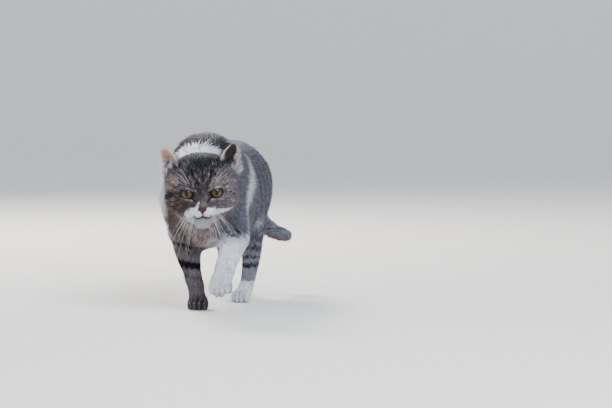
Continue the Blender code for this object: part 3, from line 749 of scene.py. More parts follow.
def grow_skin():
    """Everything known about the skin: its mesh, and the coat's numbers at each vertex."""
    verts, tris = melted_flesh()
    node = node_of(verts)
    edges = edges_of(tris)
    evening = np.array([COAT[name][5] for name in FLESH])[node]
    verts = relaxed(verts, edges, 16, 0.5 * relaxed(evening, edges, 3))
    share, numbers, ear = coat_numbers(verts, edges, node)
    normals = relaxed(vertex_normals(verts, tris), edges, 4, 0.5 * (1 - ear))
    verts = verts - unit(normals) * numbers[:, [0]]
    verts = relaxed(verts, edges, 3, 0.4 * (1 - ear))
    verts, tris, data, node = refined(verts, tris, np.hstack([share, numbers]), node, skin_target, 4)
    edges = edges_of(tris)
    verts = relaxed(verts, edges, 5, 0.45 * (gap_to(in_head(verts), FACE_MIDDLE) < 0.050))
    verts = shape_face(verts)
    normals = vertex_normals(verts, tris)
    cleft = toe_clefts(verts)
    pads = paw_pads(verts, normals)
    swell = PAD_HEIGHT * pads * (verts[:, 2] > 0.004)
    verts = verts - normals * (CLEFT_DEPTH * cleft - swell)[:, None]
    normals = vertex_normals(verts, tris)
    share = data[:, : len(GROUPS)]
    depth = data[:, len(GROUPS)]
    lie = lie_of_coat(verts + normals * depth[:, None], normals, share)
    lie = along_skin(relaxed(lie, edges, 6), normals)
    spacing, length, width = data[:, len(GROUPS) + 1 :].T
    facing = relaxed(normals, edges, 6)
    skin = {"verts": verts, "tris": tris, "normals": normals, "facing": facing, "node": node}
    skin |= {"share": share, "depth": depth, "lie": lie}
    return skin | {"spacing": spacing, "length": length, "width": width}


# ---- markings ----
def stroke(u, v, start, end, start_radius, end_radius, soft):
    """A tapering round-ended stroke in the plane: 1 inside, 0 outside, with a soft edge."""
    du, dv = end[0] - start[0], end[1] - start[1]
    t = np.clip(((u - start[0]) * du + (v - start[1]) * dv) / max(du * du + dv * dv, 1e-9), 0, 1)
    gap = np.hypot(u - start[0] - t * du, v - start[1] - t * dv)
    radius = start_radius + (end_radius - start_radius) * t
    return 1 - smoothstep(radius - soft, radius + soft, gap)


def strokes(u, v, rows, soft):
    """The strongest of several strokes: rows of (start, end, start radius, end radius, strength)."""
    total = np.zeros(len(u))
    for start, end, start_radius, end_radius, strength in rows:
        total = np.maximum(total, strength * stroke(u, v, start, end, start_radius, end_radius, soft))
    return total


# the face's markings in millimetres across (X) and up (Z) in the head's frame
WHITE_FACE = (
    ((-5.6, -11.5), (-9.0, -18.0), 1.0, 2.6, 1.0),
    ((-9.0, -19.5), (-17.0, -26.0), 2.6, 6.4, 1.0),
    ((-17.0, -26.0), (-22.0, -33.0), 6.4, 6.6, 1.0),
    ((7.5, -22.0), (15.5, -26.0), 2.4, 6.2, 1.0),
    ((15.5, -26.0), (22.0, -30.5), 6.2, 6.0, 1.0),
    ((22.0, -31.0), (38.0, -31.0), 5.6, 3.2, 0.88),
    ((38.0, -31.0), (47.0, -30.0), 3.2, 2.0, 0.60),
    ((-8.0, -30.0), (8.0, -30.0), 5.0, 5.0, 1.0),
)
DARK_FACE = (
    ((-13.5, 33.0), (-4.2, 13.5), 2.3, 1.3, 1.0),
    ((17.5, 33.0), (9.8, 13.5), 2.3, 1.3, 1.0),
    ((-19.5, 31.0), (-15.0, 9.5), 2.2, 1.5, 0.9),
    ((22.0, 29.0), (18.5, 11.5), 2.0, 1.2, 0.8),
    ((2.6, 38.0), (2.2, 18.0), 1.5, 0.9, 0.9),
    ((-31.5, 0.5), (-44.0, -1.0), 1.3, 1.8, 0.8),
    ((-44.0, -1.0), (-56.0, -8.0), 2.0, 4.5, 1.0),
    # broad dark on the right cheek: partly its markings, partly painted shade
    ((-30.0, -13.0), (-50.0, -22.0), 5.0, 7.0, 0.55),
    ((-24.0, -14.0), (-38.0, -14.0), 3.0, 6.0, 0.45),
    ((31.5, 2.2), (46.0, -2.4), 1.1, 1.0, 0.9),
    ((46.0, -3.0), (49.0, -6.6), 1.2, 2.2, 1.0),
    ((22.0, -14.0), (44.0, -16.0), 1.0, 1.4, 0.55),
    ((24.0, -19.0), (40.0, -22.0), 1.0, 1.2, 0.45),
    ((0.0, 9.0), (0.3, -5.0), 5.0, 3.6, 0.60),
    ((-12.0, -7.0), (-9.5, -12.5), 1.4, 0.9, 0.9),
    ((12.0, -7.0), (9.0, -13.0), 1.4, 0.9, 0.9),
    ((27.0, 12.0), (40.0, 9.0), 1.0, 1.4, 0.6),
    ((25.0, 19.0), (38.0, 19.0), 1.2, 1.8, 0.6),
    ((-27.0, 13.0), (-42.0, 11.0), 1.2, 1.8, 0.7),
    ((-26.0, 20.0), (-38.0, 22.0), 1.2, 2.0, 0.7),
)
PALE_FACE = (
    ((-32.0, -6.5), (-23.0, -10.3), 0.8, 1.0, 0.46),
    ((-23.0, -10.3), (-14.0, -9.6), 1.0, 0.8, 0.46),
    ((14.0, -10.0), (22.0, -9.8), 0.8, 1.0, 0.44),
    ((22.0, -9.8), (31.5, -4.6), 1.0, 0.9, 0.40),
    ((22.0, 8.8), (30.0, 8.6), 1.3, 1.2, 0.36),
    ((-24.0, 8.6), (-17.0, 7.4), 1.1, 1.0, 0.26),
)
# painted shade along both halves of the mouth line
MOUTH_PAINTED_SHADE = (
    ((-8.5, -37.6), (0.0, -35.0), 0.5, 1.0, 1.0),
    ((0.0, -35.0), (8.5, -37.6), 1.0, 0.5, 1.0),
)
TAN_FACE = (
    ((-17.0, 27.0), (-10.5, 4.0), 1.3, 1.4, 1.0),
    ((-8.0, 28.0), (-1.5, 17.0), 1.2, 1.0, 0.8),
    ((12.5, 28.0), (6.0, 17.0), 1.2, 1.0, 0.8),
    ((19.5, 24.0), (14.0, 5.0), 1.3, 1.5, 1.0),
    # the two patches on the right temple: partly its tan, partly painted sunlight
    ((-47.0, 21.0), (-42.0, 17.0), 5.5, 5.0, 1.4),
    ((-53.0, 9.0), (-49.0, 8.0), 4.0, 4.0, 1.0),
    ((-28.0, -10.5), (-12.0, -10.0), 1.2, 1.0, 0.7),
    ((12.0, -11.0), (28.0, -9.5), 1.0, 1.2, 0.6),
    ((0.8, -7.0), (1.5, -15.0), 2.2, 3.2, 0.6),
)


def head_marks(points):
    """White, dark and warm on the head, worked out in millimetres in its own frame."""
    place = in_head(points) * 1000
    x = place[:, 0] + (cloud(points, 0.0035, 3) - 0.5) * 2.6
    y = place[:, 1]
    z = place[:, 2] + (cloud(points, 0.0035, 4) - 0.5) * 2.6
    front = 1 - smoothstep(24, 40, y)
    white = strokes(x, z, WHITE_FACE, 2.0) * (1 - smoothstep(18, 34, y))
    # lip: the dark philtrum below the nose, with the painted shade along the mouth line; it takes out
    # white and adds dark
    lip = np.maximum(
        stroke(x, z, (0, -29.0), (0, -35.0), 0.9, 2.2, 1.6),
        0.6 * strokes(x, z, MOUTH_PAINTED_SHADE, 1.8),
    ) * front
    white = white * (1 - 0.72 * lip)
    dark = strokes(x, z, DARK_FACE, 0.8) * (1 - smoothstep(30, 50, y))
    tan = strokes(x, z, TAN_FACE, 1.6) * front * (0.45 + 0.75 * cloud(points, 0.0030, 9))
    # the chin's pale coat is kept beige and less white: partly its own tone, partly painted shade
    # under the head
    chin = stroke(x, z, (-11.0, -46.0), (11.0, -46.0), 6.0, 6.0, 9.0) * (1 - smoothstep(18, 34, y))
    pale = strokes(x, z, PALE_FACE, 1.0) * front
    white = most(white, 0.55 * chin, 0.21 * tan, pale)
    forehead = stroke(x, z, (0, 24), (0, 30), 22, 24, 7) * front
    crown = 0.80 * smoothstep(25, 39, z - 0.06 * np.abs(x)) * (1 - smoothstep(62, 74, y))
    speckle = cloud(points * np.array((1.6, 1.0, 0.6)), 0.0035, 8)
    fleck = smoothstep(0.60, 0.85, speckle) * crown * smoothstep(50, 42, z)
    base = 0.40 + 0.28 * forehead
    # painted shade and light, on top of the coat's own tones: the right cheek is made darker, and
    # browner below, the left cheek paler and a touch less warm
    shaded_cheek = stroke(x, z, (-38, -16), (-40, -24), 15, 14, 6)
    base += 0.22 * shaded_cheek
    base -= 0.24 * smoothstep(16, 26, x) * smoothstep(26, 12, z)
    dark = most(dark, base, crown) * (1 - 0.75 * tan) * (1 - 0.8 * pale)
    dark = np.maximum(dark * (1 - 0.45 * fleck) * (1 - 0.6 * chin), 0.7 * lip)
    # the tan is warmer out on the right side: partly painted sunlight on the right temple
    warm = 0.42 * front + (0.38 + 0.24 * smoothstep(-30, -38, x)) * tan + 0.30 * chin
    # the right cheek's brown, partly painted shade
    warm = warm + 0.50 * stroke(x, z, (-38, -14), (-42, -22), 14, 13, 6)
    warm = np.where(x > 14, warm - 0.02, warm) * (1 - 0.85 * crown)
    # the throat's white is held low and warm: partly its own tone, partly painted shade under the
    # chin
    throat = smoothstep(-36, -46, z) * smoothstep(8, 22, y)
    jaw = smoothstep(-33, -42, z) * smoothstep(34, 18, np.abs(x + 4)) * (1 - smoothstep(20, 40, y))
    nape = smoothstep(78, 88, y) * smoothstep(20, 30, z)
    ear_base = smoothstep(18, 10, gap_to(place, (-47.0, 46.0, 42.0)))
    white = most(white, 0.30 * throat, 0.46 * jaw, 0.85 * nape, 0.55 * ear_base)
    warm = most(warm, 0.75 * throat, ear_base)
    return white, dark * (1 - nape) * (1 - 0.9 * ear_base), warm * (1 - nape)


# the pale band down each flank, in metres along (Y) and up (Z): (start, end, radii, strength)
FLANK_BAND = (
    ((0.118, 0.234), (0.100, 0.212), 0.012, 0.020, 0.50),
    ((0.100, 0.212), (0.066, 0.188), 0.020, 0.018, 0.58),
    ((0.066, 0.188), (0.026, 0.166), 0.018, 0.016, 0.66),
    ((0.026, 0.166), (0.008, 0.140), 0.015, 0.014, 0.70),
    ((0.010, 0.138), (0.008, 0.120), 0.012, 0.012, 1.0),
    ((0.170, 0.131), (0.205, 0.127), 0.006, 0.007, 0.60),
)


def body_marks(points, normals):
    """White, dark and warm on the neck and trunk."""
    wave = (cloud(points, 0.016, 11) - 0.5) * 0.012 + (cloud(points, 0.005, 12) - 0.5) * 0.006
    x, y, z = points[:, 0], points[:, 1] + wave, points[:, 2] + wave * 0.6
    left = smoothstep(0.010, 0.030, x)
    right = smoothstep(-0.010, -0.030, x)
    band = strokes(y, z, FLANK_BAND, 0.012)
    white = np.maximum(band * (left + 0.85 * right), 0.05)
    bend = 0.30 * (z - 0.19) + 0.010 * np.sin(z * 42.0)
    stripe = 0.5 + 0.5 * np.sin((y + bend) * (2 * math.pi / 0.038) + 0.9)
    flank = smoothstep(0.105, 0.135, z) * smoothstep(0.262, 0.240, z) * smoothstep(0.100, 0.135, y)
    dark = 0.15 + 0.44 * smoothstep(0.45, 0.90, stripe) * flank * (1 - band)
    spine = smoothstep(0.024, 0.010, np.abs(x + 0.002)) * smoothstep(0.225, 0.245, z)
    spine *= smoothstep(0.03, 0.06, y)
    top = smoothstep(0.228, 0.242, z)
    collar = smoothstep(-0.010, -0.0165, y + 0.05 * np.abs(x)) * top
    behind_crown = smoothstep(-0.031, -0.040, y) * top
    withers = smoothstep(0.042, 0.010, y) * smoothstep(0.222, 0.240, z) * (1 - collar)
    saddle = smoothstep(0.246, 0.266, z) * smoothstep(0.020, 0.050, y) * smoothstep(-0.022, 0.004, x)
    white = most(white, collar * (1 - 0.9 * behind_crown), 0.30 * saddle)
    ruff = smoothstep(0.012, -0.004, y - 0.10 * (0.22 - z)) * smoothstep(0.016, 0.030, x) * (1 - top)
    streak = cloud(points * np.array((1.0, 0.35, 0.5)), 0.006, 14)
    white = np.maximum(white * (1 - ruff * smoothstep(0.116, 0.128, z)), 0.09 * ruff)
    rim = smoothstep(-0.050, -0.060, x) * smoothstep(0.010, -0.010, y) * (1 - top)
    shoulder = smoothstep(0.000, -0.016, x) * smoothstep(0.025, 0.0, y) * smoothstep(0.200, 0.180, z)
    cuff = smoothstep(0.0060, 0.0025, np.abs(z + 0.18 * (x + 0.024) - 0.1015))
    cuff *= smoothstep(0.008, -0.002, x)
    cuff = 0.95 * cuff * smoothstep(0.03, 0.01, y)
    dark = most(dark, 0.55 * spine, 0.74 * withers, 0.62 * behind_crown, 0.52 * shoulder, cuff)
    dark = np.maximum(dark, ruff * (0.18 + 0.12 * streak))
    belly = smoothstep(-0.55, -0.85, normals[:, 2]) * smoothstep(0.03, 0.06, y)
    # the chest between the forelegs is held low in white and made warm brown: partly its own tone,
    # partly painted shade under the head
    chest = smoothstep(0.030, 0.014, np.abs(x - 0.011)) * smoothstep(0.03, 0.0, y)
    chest *= smoothstep(0.205, 0.190, z)
    white = most(white, 0.70 * rim * smoothstep(0.140, 0.165, z), 0.70 * belly, 0.30 * chest)
    warm = most(0.08 + 0.12 * right, 0.95 * chest, 0.62 * shoulder)
    return white, dark * (1 - chest * 0.8), np.maximum(warm, 0.3 * belly)


EAR_HEIGHT, EAR_HALF_WIDTH = 0.046, 0.022
# the ears' coat as (white, dark, warm): on the right ear, on the left ear and round both rims; the
# right ear's pale peach is partly its pale hair and partly painted light shining through the ear
EAR_TONES, EAR_RIM_TONE = {-1: (0.36, 0.0, 1.0), 1: (0.0, 0.84, 0.60)}, (0.44, 0.05, 0.95)
EAR_TIP = {-1: (-0.0575, 0.0550, 0.0620), 1: (0.0560, 0.0550, 0.0670)}
EAR_SWIVEL = {-1: math.radians(58), 1: math.radians(46)}


def ear_place(place, side):
    """Each place's height up an ear from 0 to 1, its distance across it and the ear's own axes."""
    root = np.array(EAR_ROOT[side])
    rise = unit(np.array(EAR_TIP[side]) - root)
    facing = np.array((side * math.sin(EAR_SWIVEL[side]), -math.cos(EAR_SWIVEL[side]), 0.05))
    facing = unit(facing - rise * (facing @ rise))
    across = np.cross(rise, facing)
    across = across if across[0] * side > 0 or across[1] > 0 else -across
    away = place - root
    return away @ rise / EAR_HEIGHT, away @ across, rise, across, facing


# dark bands round the limbs: (height, half width, strength)
LIMB_BANDS = {
    FORELEG_RIGHT: (
        (0.1240, 0.0034, 0.85), (0.1015, 0.0026, 0.90), (0.0735, 0.0062, 1.00),
        (0.0545, 0.0022, 0.50), (0.0380, 0.0024, 0.35),
    ),
    FORELEG_LEFT: (),
    HINDLEG_LEFT: (
        (0.1220, 0.0040, 0.68), (0.1040, 0.0035, 0.72), (0.0860, 0.0035, 0.72),
        (0.0700, 0.0026, 0.62), (0.0565, 0.0030, 0.80),
    ),
    HINDLEG_RIGHT: (
        (0.1200, 0.0040, 0.60), (0.1010, 0.0035, 0.70), (0.0800, 0.0035, 0.70),
        (0.0620, 0.0030, 0.70), (0.0460, 0.0026, 0.50),
    ),
}
# between the bands: (height of the white below, darkness, paleness, warmth)
LIMB_TONES = {
    FORELEG_RIGHT: (-1.0, 0.22, 0.12, 0.34),
    FORELEG_LEFT: (0.1215, 0.30, 0.0, 0.0),
    HINDLEG_LEFT: (0.0330, 0.04, 0.30, 0.10),
    HINDLEG_RIGHT: (0.0260, 0.18, 0.15, 0.25),
}


def limb_marks(points, limb):
    """White, dark and warm on one limb."""
    wave = (cloud(points, 0.007, 20 + limb) - 0.5) * 0.005
    height = points[:, 2] + wave
    if limb == FORELEG_RIGHT:
        height = height + 0.18 * (points[:, 0] + 0.024)
    white_below, darkness, paleness, warmth = LIMB_TONES[limb]
    dark = darkness + 0.16 * (cloud(points, 0.009, 31) - 0.5)
    for level, half, strength in LIMB_BANDS[limb]:
        ring = smoothstep(half + 0.0014, half - 0.0010, np.abs(height - level))
        dark = np.maximum(dark, strength * ring)
    white = smoothstep(0.0025, -0.0025, height - white_below)
    cleft = toe_clefts(points)
    pale = paleness * smoothstep(0.65, 0.35, dark)
    # painted shade between the toes: less white and darker in the clefts
    white = np.maximum(white, pale) * (1 - 0.40 * cleft)
    dark = dark + 0.35 * cleft
    return white, dark, np.full(len(points), warmth)


def tail_marks(points):
    """White, dark and warm on the tail."""
    along = nearest_on_line(points, LIMB_LINES[TAIL])[1]
    ring = 0.5 + 0.5 * np.sin(along * 46 + (cloud(points, 0.01, 41) - 0.5) * 2.5)
    dark = 0.12 + 0.14 * smoothstep(0.55, 0.95, ring) + 0.5 * smoothstep(0.93, 0.98, along)
    under = smoothstep(-0.2, -0.8, unit(points - np.array((0.04, 0.39, 0.11)))[:, 2])
    warm = 0.05 + 0.45 * under + 0.3 * smoothstep(0.75, 0.5, along)
    return np.full(len(points), 0.20), np.clip(dark, 0, 1), warm


def marks(points, normals, share):
    """The coat's markings at each place: how white, how dark and how warm."""
    total = np.zeros((len(points), 3))
    for group in (HEAD, NECK, TRUNK, TAIL, *LIMB_BANDS):
        rows = np.where(share[:, group] > 0.01)[0]
        if not len(rows):
            continue
        if group == HEAD:
            found = head_marks(points[rows])
        elif group == TAIL:
            found = tail_marks(points[rows])
        elif group in LIMB_BANDS:
            found = limb_marks(points[rows], group)
        else:
            found = body_marks(points[rows], normals[rows])
        total[rows] += share[rows, group][:, None] * np.stack(found, axis=1)
    ears = np.where(share[:, EARS] > 0.01)[0]
    right = in_head(points[ears])[:, 0] < 0
    tone = np.where(right[:, None], EAR_TONES[-1], EAR_TONES[1])
    rim = np.zeros(len(ears))
    for side in SIDES:
        up, out = ear_place(in_head(points[ears]), side)[:2]
        edge = np.abs(out) / (EAR_HALF_WIDTH * np.sqrt(np.clip(1.02 - up, 0.02, 1)))
        rim = np.maximum(rim, smoothstep(0.72, 0.95, edge) * (right == (side < 0)))
    tone = tone + rim[:, None] * (np.array(EAR_RIM_TONE) - tone)
    total[ears] += share[ears, EARS][:, None] * tone
    return np.clip(total, 0, 1)


# ---- coat ----
# coat piece: the flesh nodes whose coat it holds, and the slot of its finish
COAT_PIECES = {
    "coat_head_right": (("head",), "tabby_coat", -1),
    "coat_head_left": (("head",), "tabby_coat", 1),
    "coat_ears": (("ear_left", "ear_right"), "dark_coat", 0),
    "coat_neck": (("neck",), "white_coat", 0),
    "coat_chest": (("chest",), "tabby_coat", 0),
    "coat_belly": (("belly",), "tabby_coat", 0),
    "coat_rump_right": (("rump",), "tabby_coat", -1),
    "coat_rump_left": (("rump",), "tabby_coat", 1),
    "coat_foreleg_right": (("foreleg_right", "forepaw_right"), "tabby_coat", 0),
    "coat_foreleg_left": (("foreleg_left", "forepaw_left"), "white_coat", 0),
    "coat_hindleg_left": (("hindleg_left", "hindfoot_left", "hindpaw_left"), "tabby_coat", 0),
    "coat_hindleg_right": (("hindleg_right", "hindfoot_right", "hindpaw_right"), "tabby_coat", 0),
    "coat_tail": (("tail_root", "tail_middle", "tail_end"), "dark_coat", 0),
}
SPIKE_LENGTH = 0.0062  # hairs shorter than this are plain spikes, longer ones bend with the body
BAREST = 0.35  # hair grows where the skin is less bare than this
# each hair's share of the length, width and lift at its place, and how far it is drawn into its
# lock: (least, spread)
LENGTH_SHARE, WIDTH_SHARE, LIFT_SHARE = (0.78, 0.44), (0.75, 0.5), (0.82, 0.30)
LOCK_PULL = (0.30, 0.15)
SWIRLS = ((0.030, 51, 0.7), (0.009, 52, 0.55))  # turns in the coat's lie: (size, seed, angle)
SWIRL_SPREAD = 0.13  # each hair's own turn
MIDDLE_SHARE, TIP_SHARE = 0.66, 1.02  # how high they stand in the depth of the coat
LEAST_MIDDLE, LEAST_TIP = 0.00030, 0.00050  # and never nearer to the skin than this
TUFT_SUNK, SPIKE_SUNK = 0.0005, 0.0003  # how far under the skin they start
FLOOR_GAP = 0.0004  # the lowest that a hair may hang
PATCH = 0.003  # how wide one tuft's patch is on its bake map
TUFT_FACES = (
    (0, 2, 1), (0, 1, 4), (0, 4, 3), (1, 2, 5), (1, 5, 4), (2, 0, 3), (2, 3, 5),
    (3, 4, 6), (4, 5, 6), (5, 3, 6),
)
SPIKE_FACES = ((0, 2, 1), (0, 1, 3), (1, 2, 3), (2, 0, 3))
TUFT_ALONG, SPIKE_ALONG = (0.0, 0.0, 0.0, 0.52, 0.52, 0.52, 1.0), (0.0, 0.0, 0.0, 1.0)
# a hair's section as shares of its width: (half width, ridge height)
TUFT_ROOT, TUFT_BEND, SPIKE_ROOT = (0.42, 0.30), (0.50, 0.32), (0.5, 0.45)


def strewn(skin, dice):
    """Roots spread over the skin at each place's own spacing: their triangles and corner weights."""
    verts, tris = skin["verts"], skin["tris"]
    a, b, c = verts[tris[:, 0]], verts[tris[:, 1]], verts[tris[:, 2]]
    area = np.linalg.norm(np.cross(b - a, c - a), axis=1) / 2
    share = np.cumsum(area / skin["spacing"][tris].mean(axis=1) ** 2)
    count = int(share[-1])
    chosen = np.searchsorted(share, np.arange(count) + dice.random(count))
    chosen = np.minimum(chosen, len(tris) - 1)
    first, second = np.sqrt(dice.random(count)), dice.random(count)
    corner = np.stack([1 - first, first * (1 - second), first * second], axis=1)
    return chosen, corner


def at_roots(values, tris, chosen, corner):
    """Vertex values as they are at roots inside triangles."""
    if values.ndim == 1:
        return (values[tris[chosen]] * corner).sum(axis=1)
    return (values[tris[chosen]] * corner[:, :, None]).sum(axis=1)


def varied(dice, count, least, spread):
    """Random numbers from least up to least + spread."""
    return least + spread * dice.random(count)


def turned(way, normals, angle):
    """Turns directions that lie along the skin by an angle about the skin's normal."""
    return way * np.cos(angle)[:, None] + np.cross(normals, way) * np.sin(angle)[:, None]


def gathered(tips, normals, size, pull, seed):
    """Draws tips towards shared points, so that hairs close into locks."""
    cell = np.floor(tips / size[:, None]).astype(np.int64)
    centre = np.stack([lattice_value(cell, seed + k) for k in range(3)], axis=1)
    toward = (cell + 0.2 + 0.6 * centre) * size[:, None] - tips
    toward -= normals * (toward * normals).sum(axis=1, keepdims=True)
    return tips + toward * pull[:, None]


# the right ear's fringe is paler and warmer than the left's: partly its pale hair, partly painted
# light shining through the ear
FRINGE_TONE = {-1: (0.62, 0.0, 0.85), 1: (0.42, 0.16, 0.26)}  # white, dark, warm
FRINGE_HAIRS, FRINGE_WIDTH = 460, 0.00048
FRINGE_SHARE = (0.75, 0.5)  # each hair's share of the length: (least, spread)


def ear_fringe(skin, dice):
    """Long pale hairs along each ear's outer edge and from its hollow."""
    place = in_head(skin["verts"])
    found = []
    for side in SIDES:
        up, out, rise, across, facing = ear_place(place, side)
        near = (place[:, 0] * side > 0.030) & (np.abs(out) < 0.026) & (up > -0.15) & (up < 0.85)
        front = (unit(skin["normals"] @ HEAD_MATRIX[:3, :3]) @ facing) > 0.15
        rim = out > 0.60 * EAR_HALF_WIDTH * np.sqrt(np.clip(1 - up, 0.05, 1))
        edge = np.where(near & front & (rim | ((up < 0.10) & (out > -0.004))))[0]
        chosen = dice.choice(edge, FRINGE_HAIRS)
        height = np.clip(up[chosen], 0, 1)
        length = (0.0115 - 0.0065 * height) * varied(dice, len(chosen), *FRINGE_SHARE)
        inward = across * (0.35 * dice.random((len(chosen), 1)) - 0.05)
        way = rise * (0.75 + 0.3 * dice.random((len(chosen), 1))) + inward + facing * 0.28
        way = unit(way + dice.normal(0, 0.16, way.shape)) @ HEAD_MATRIX[:3, :3].T
        found.append((chosen, length, way, side))
    return found


def comb_coat(skin, dice):
    """Every tuft's root, middle and tip, with the sizes and markings it carries."""
    verts, tris = skin["verts"], skin["tris"]
    tree = BVHTree.FromPolygons(verts.tolist(), tris.tolist())
    chosen, corner = strewn(skin, dice)

    def here(name):
        return at_roots(skin[name], tris, chosen, corner)

    root = here("verts")
    normal, share = unit(here("normals")), here("share")
    keep = np.maximum(bare_skin(root, share), paw_pads(root, normal)) < BAREST
    chosen, corner, root = chosen[keep], corner[keep], root[keep]
    count = len(root)
    normal, share, depth = unit(here("normals")), here("share"), here("depth")
    length = here("length") * varied(dice, count, *LENGTH_SHARE)
    length *= 1 - 0.35 * toe_ends(root)
    width = here("width") * varied(dice, count, *WIDTH_SHARE)
    swirl = sum((cloud(root, size, seed) - 0.5) * turn for size, seed, turn in SWIRLS)
    swirl += dice.normal(0, SWIRL_SPREAD, count)
    lie = turned(along_skin(here("lie"), normal), normal, swirl)
    ground, face = nearest_on(tree, root + lie * (length * 0.5)[:, None])
    middle_normal = skin["normals"][tris[face, 0]]
    onward = turned(along_skin(skin["lie"][tris[face, 0]], middle_normal), middle_normal, swirl)
    far, last = nearest_on(tree, ground + onward * (length * 0.5)[:, None])
    tip_normal = skin["normals"][tris[last, 0]]
    lift = varied(dice, count, *LIFT_SHARE)
    lift += 0.10 * (cloud(root, 0.012, 53) - 0.5)
    crest = in_head(root)
    behind, above = smoothstep(0.010, 0.026, crest[:, 1]), smoothstep(0.036, 0.044, crest[:, 2])
    lift *= 1 + 0.75 * (behind * above * share[:, HEAD])
    middle_height = np.maximum(depth * MIDDLE_SHARE * lift, LEAST_MIDDLE)
    middle = ground + middle_normal * middle_height[:, None]
    end = far + tip_normal * np.maximum(depth * TIP_SHARE * lift, LEAST_TIP)[:, None]
    pull = varied(dice, count, *LOCK_PULL) * (1 - 0.85 * toe_ends(root))
    tip = gathered(end, tip_normal, 0.0030 + 0.20 * length, pull, 61)
    middle = middle + (tip - end) * 0.25  # a lock draws the middles in less than the tips
    outer = root + lie * (length * 0.55)[:, None] + normal * depth[:, None]
    feather = length * (0.11 - 0.06 * share[:, HEAD])  # ragged edges to the markings
    outer += dice.normal(0, 1, (count, 3)) * feather[:, None]
    paint = marks(outer, normal, share)
    coat = {"root": root, "normal": normal, "lie": lie, "length": length, "width": width}
    coat |= {"middle": middle, "middle_normal": middle_normal, "tip": tip, "paint": paint}
    coat |= {"chance": dice.random(count), "chosen": chosen, "corner": corner}
    return with_fringe(coat | {"node": skin["node"][tris[chosen, 0]]}, skin, dice)


def with_fringe(coat, skin, dice):
    """The coat with the ears' long pale hairs added."""
    first = np.zeros(len(skin["verts"]), dtype=int)
    for corner in range(3):
        first[skin["tris"][:, corner]] = np.arange(len(skin["tris"]))
    for chosen, length, way, side in ear_fringe(skin, dice):
        root, normal = skin["verts"][chosen], skin["normals"][chosen]
        face = first[chosen]
        count = len(chosen)
        lie = along_skin(way, normal)
        tip = root + way * length[:, None]
        extra = {
            "root": root,
            "normal": normal,
            "lie": lie,
            "middle": root + (way * 0.5 + normal * 0.06) * length[:, None],
            "middle_normal": normal,
            "tip": tip,
            "length": np.maximum(length, SPIKE_LENGTH),
            "width": np.full(count, FRINGE_WIDTH),
            "paint": np.tile(FRINGE_TONE[side], (count, 1)),
            "chance": dice.random(count),
            "chosen": face,
            "corner": (skin["tris"][face] == chosen[:, None]).astype(float),
            "node": np.full(count, NODE["ear_left" if side > 0 else "ear_right"]),
        }
        for key, values in extra.items():
            coat[key] = np.concatenate([coat[key], values])
    return coat


def bare_skin(points, share):
    """1 where no hair grows: lid edges, the mouth's line, the nose's bed and the soles."""
    place = in_head(points)
    bare = np.zeros(len(points))
    near = np.where(share[:, HEAD] > 0.5)[0]
    for side in SIDES:
        gap, _ = lid_place(place[near], side)
        bare[near] = np.maximum(bare[near], smoothstep(1.20, 1.12, gap))
    front = smoothstep(0.006, 0.0, place[near, 1])
    for path, outer, inner in ((MOUTH, 0.0011, 0.0007), (PHILTRUM, 0.0008, 0.0004)):
        line = smoothstep(outer, inner, groove_gap(place[near], path))
        bare[near] = np.maximum(bare[near], front * line)
    x, z = place[near, 0], place[near, 2]
    nose = (np.abs(x) < 0.0062 * smoothstep(-0.031, -0.0225, z)) & (z < -0.0178)
    bare[near] = np.maximum(bare[near], front * nose)
    return np.maximum(bare, smoothstep(0.0016, 0.0008, points[:, 2]))


def hair_roots(coat, rows, sunk):
    """Where hairs start, sunk under the skin; its way up and across there, and the hairs' width."""
    root, normal = coat["root"][rows], coat["normal"][rows]
    side = unit(np.cross(normal, coat["lie"][rows]))
    return root - normal * sunk, normal, side, coat["width"][rows][:, None]


def three_sided(middle, normal, side, width, section):
    """The corners of a three-sided section: left, right and the ridge above."""
    half, ridge = section
    across = side * width * half
    return np.stack([middle - across, middle + across, middle + normal * width * ridge], axis=1)


def tuft_points(coat, rows):
    """Seven points for each bending tuft, and how far each is from root (0) to tip (1)."""
    root, middle, tip = coat["root"][rows], coat["middle"][rows], coat["tip"][rows]
    base, normal, side, width = hair_roots(coat, rows, TUFT_SUNK)
    bend_normal = coat["middle_normal"][rows]
    bend_side = unit(np.cross(bend_normal, tip - root))
    start = three_sided(base, normal, side, width, TUFT_ROOT)
    bend = three_sided(middle, bend_normal, bend_side, width, TUFT_BEND)
    return np.concatenate([start, bend, tip[:, None]], axis=1), np.array(TUFT_ALONG), TUFT_FACES


def spike_points(coat, rows):
    """Four points for each short hair, in the same way."""
    start = three_sided(*hair_roots(coat, rows, SPIKE_SUNK), SPIKE_ROOT)
    tip = coat["tip"][rows][:, None]
    return np.concatenate([start, tip], axis=1), np.array(SPIKE_ALONG), SPIKE_FACES


def packed(sizes):
    """Sets boxes of the given widths and heights on shelves: their corners and the square's side."""
    wide = max(math.sqrt((sizes[:, 0] * sizes[:, 1]).sum()) * 1.06, sizes[:, 0].max())
    corners = np.zeros_like(sizes)
    across, up, shelf = 0.0, 0.0, 0.0
    for k in np.argsort(-sizes[:, 1]):
        if across + sizes[k, 0] > wide:
            across, up, shelf = 0.0, up + shelf, 0.0
        corners[k] = across, up
        across += sizes[k, 0]
        shelf = max(shelf, sizes[k, 1])
    return corners, max(wide, up + shelf)


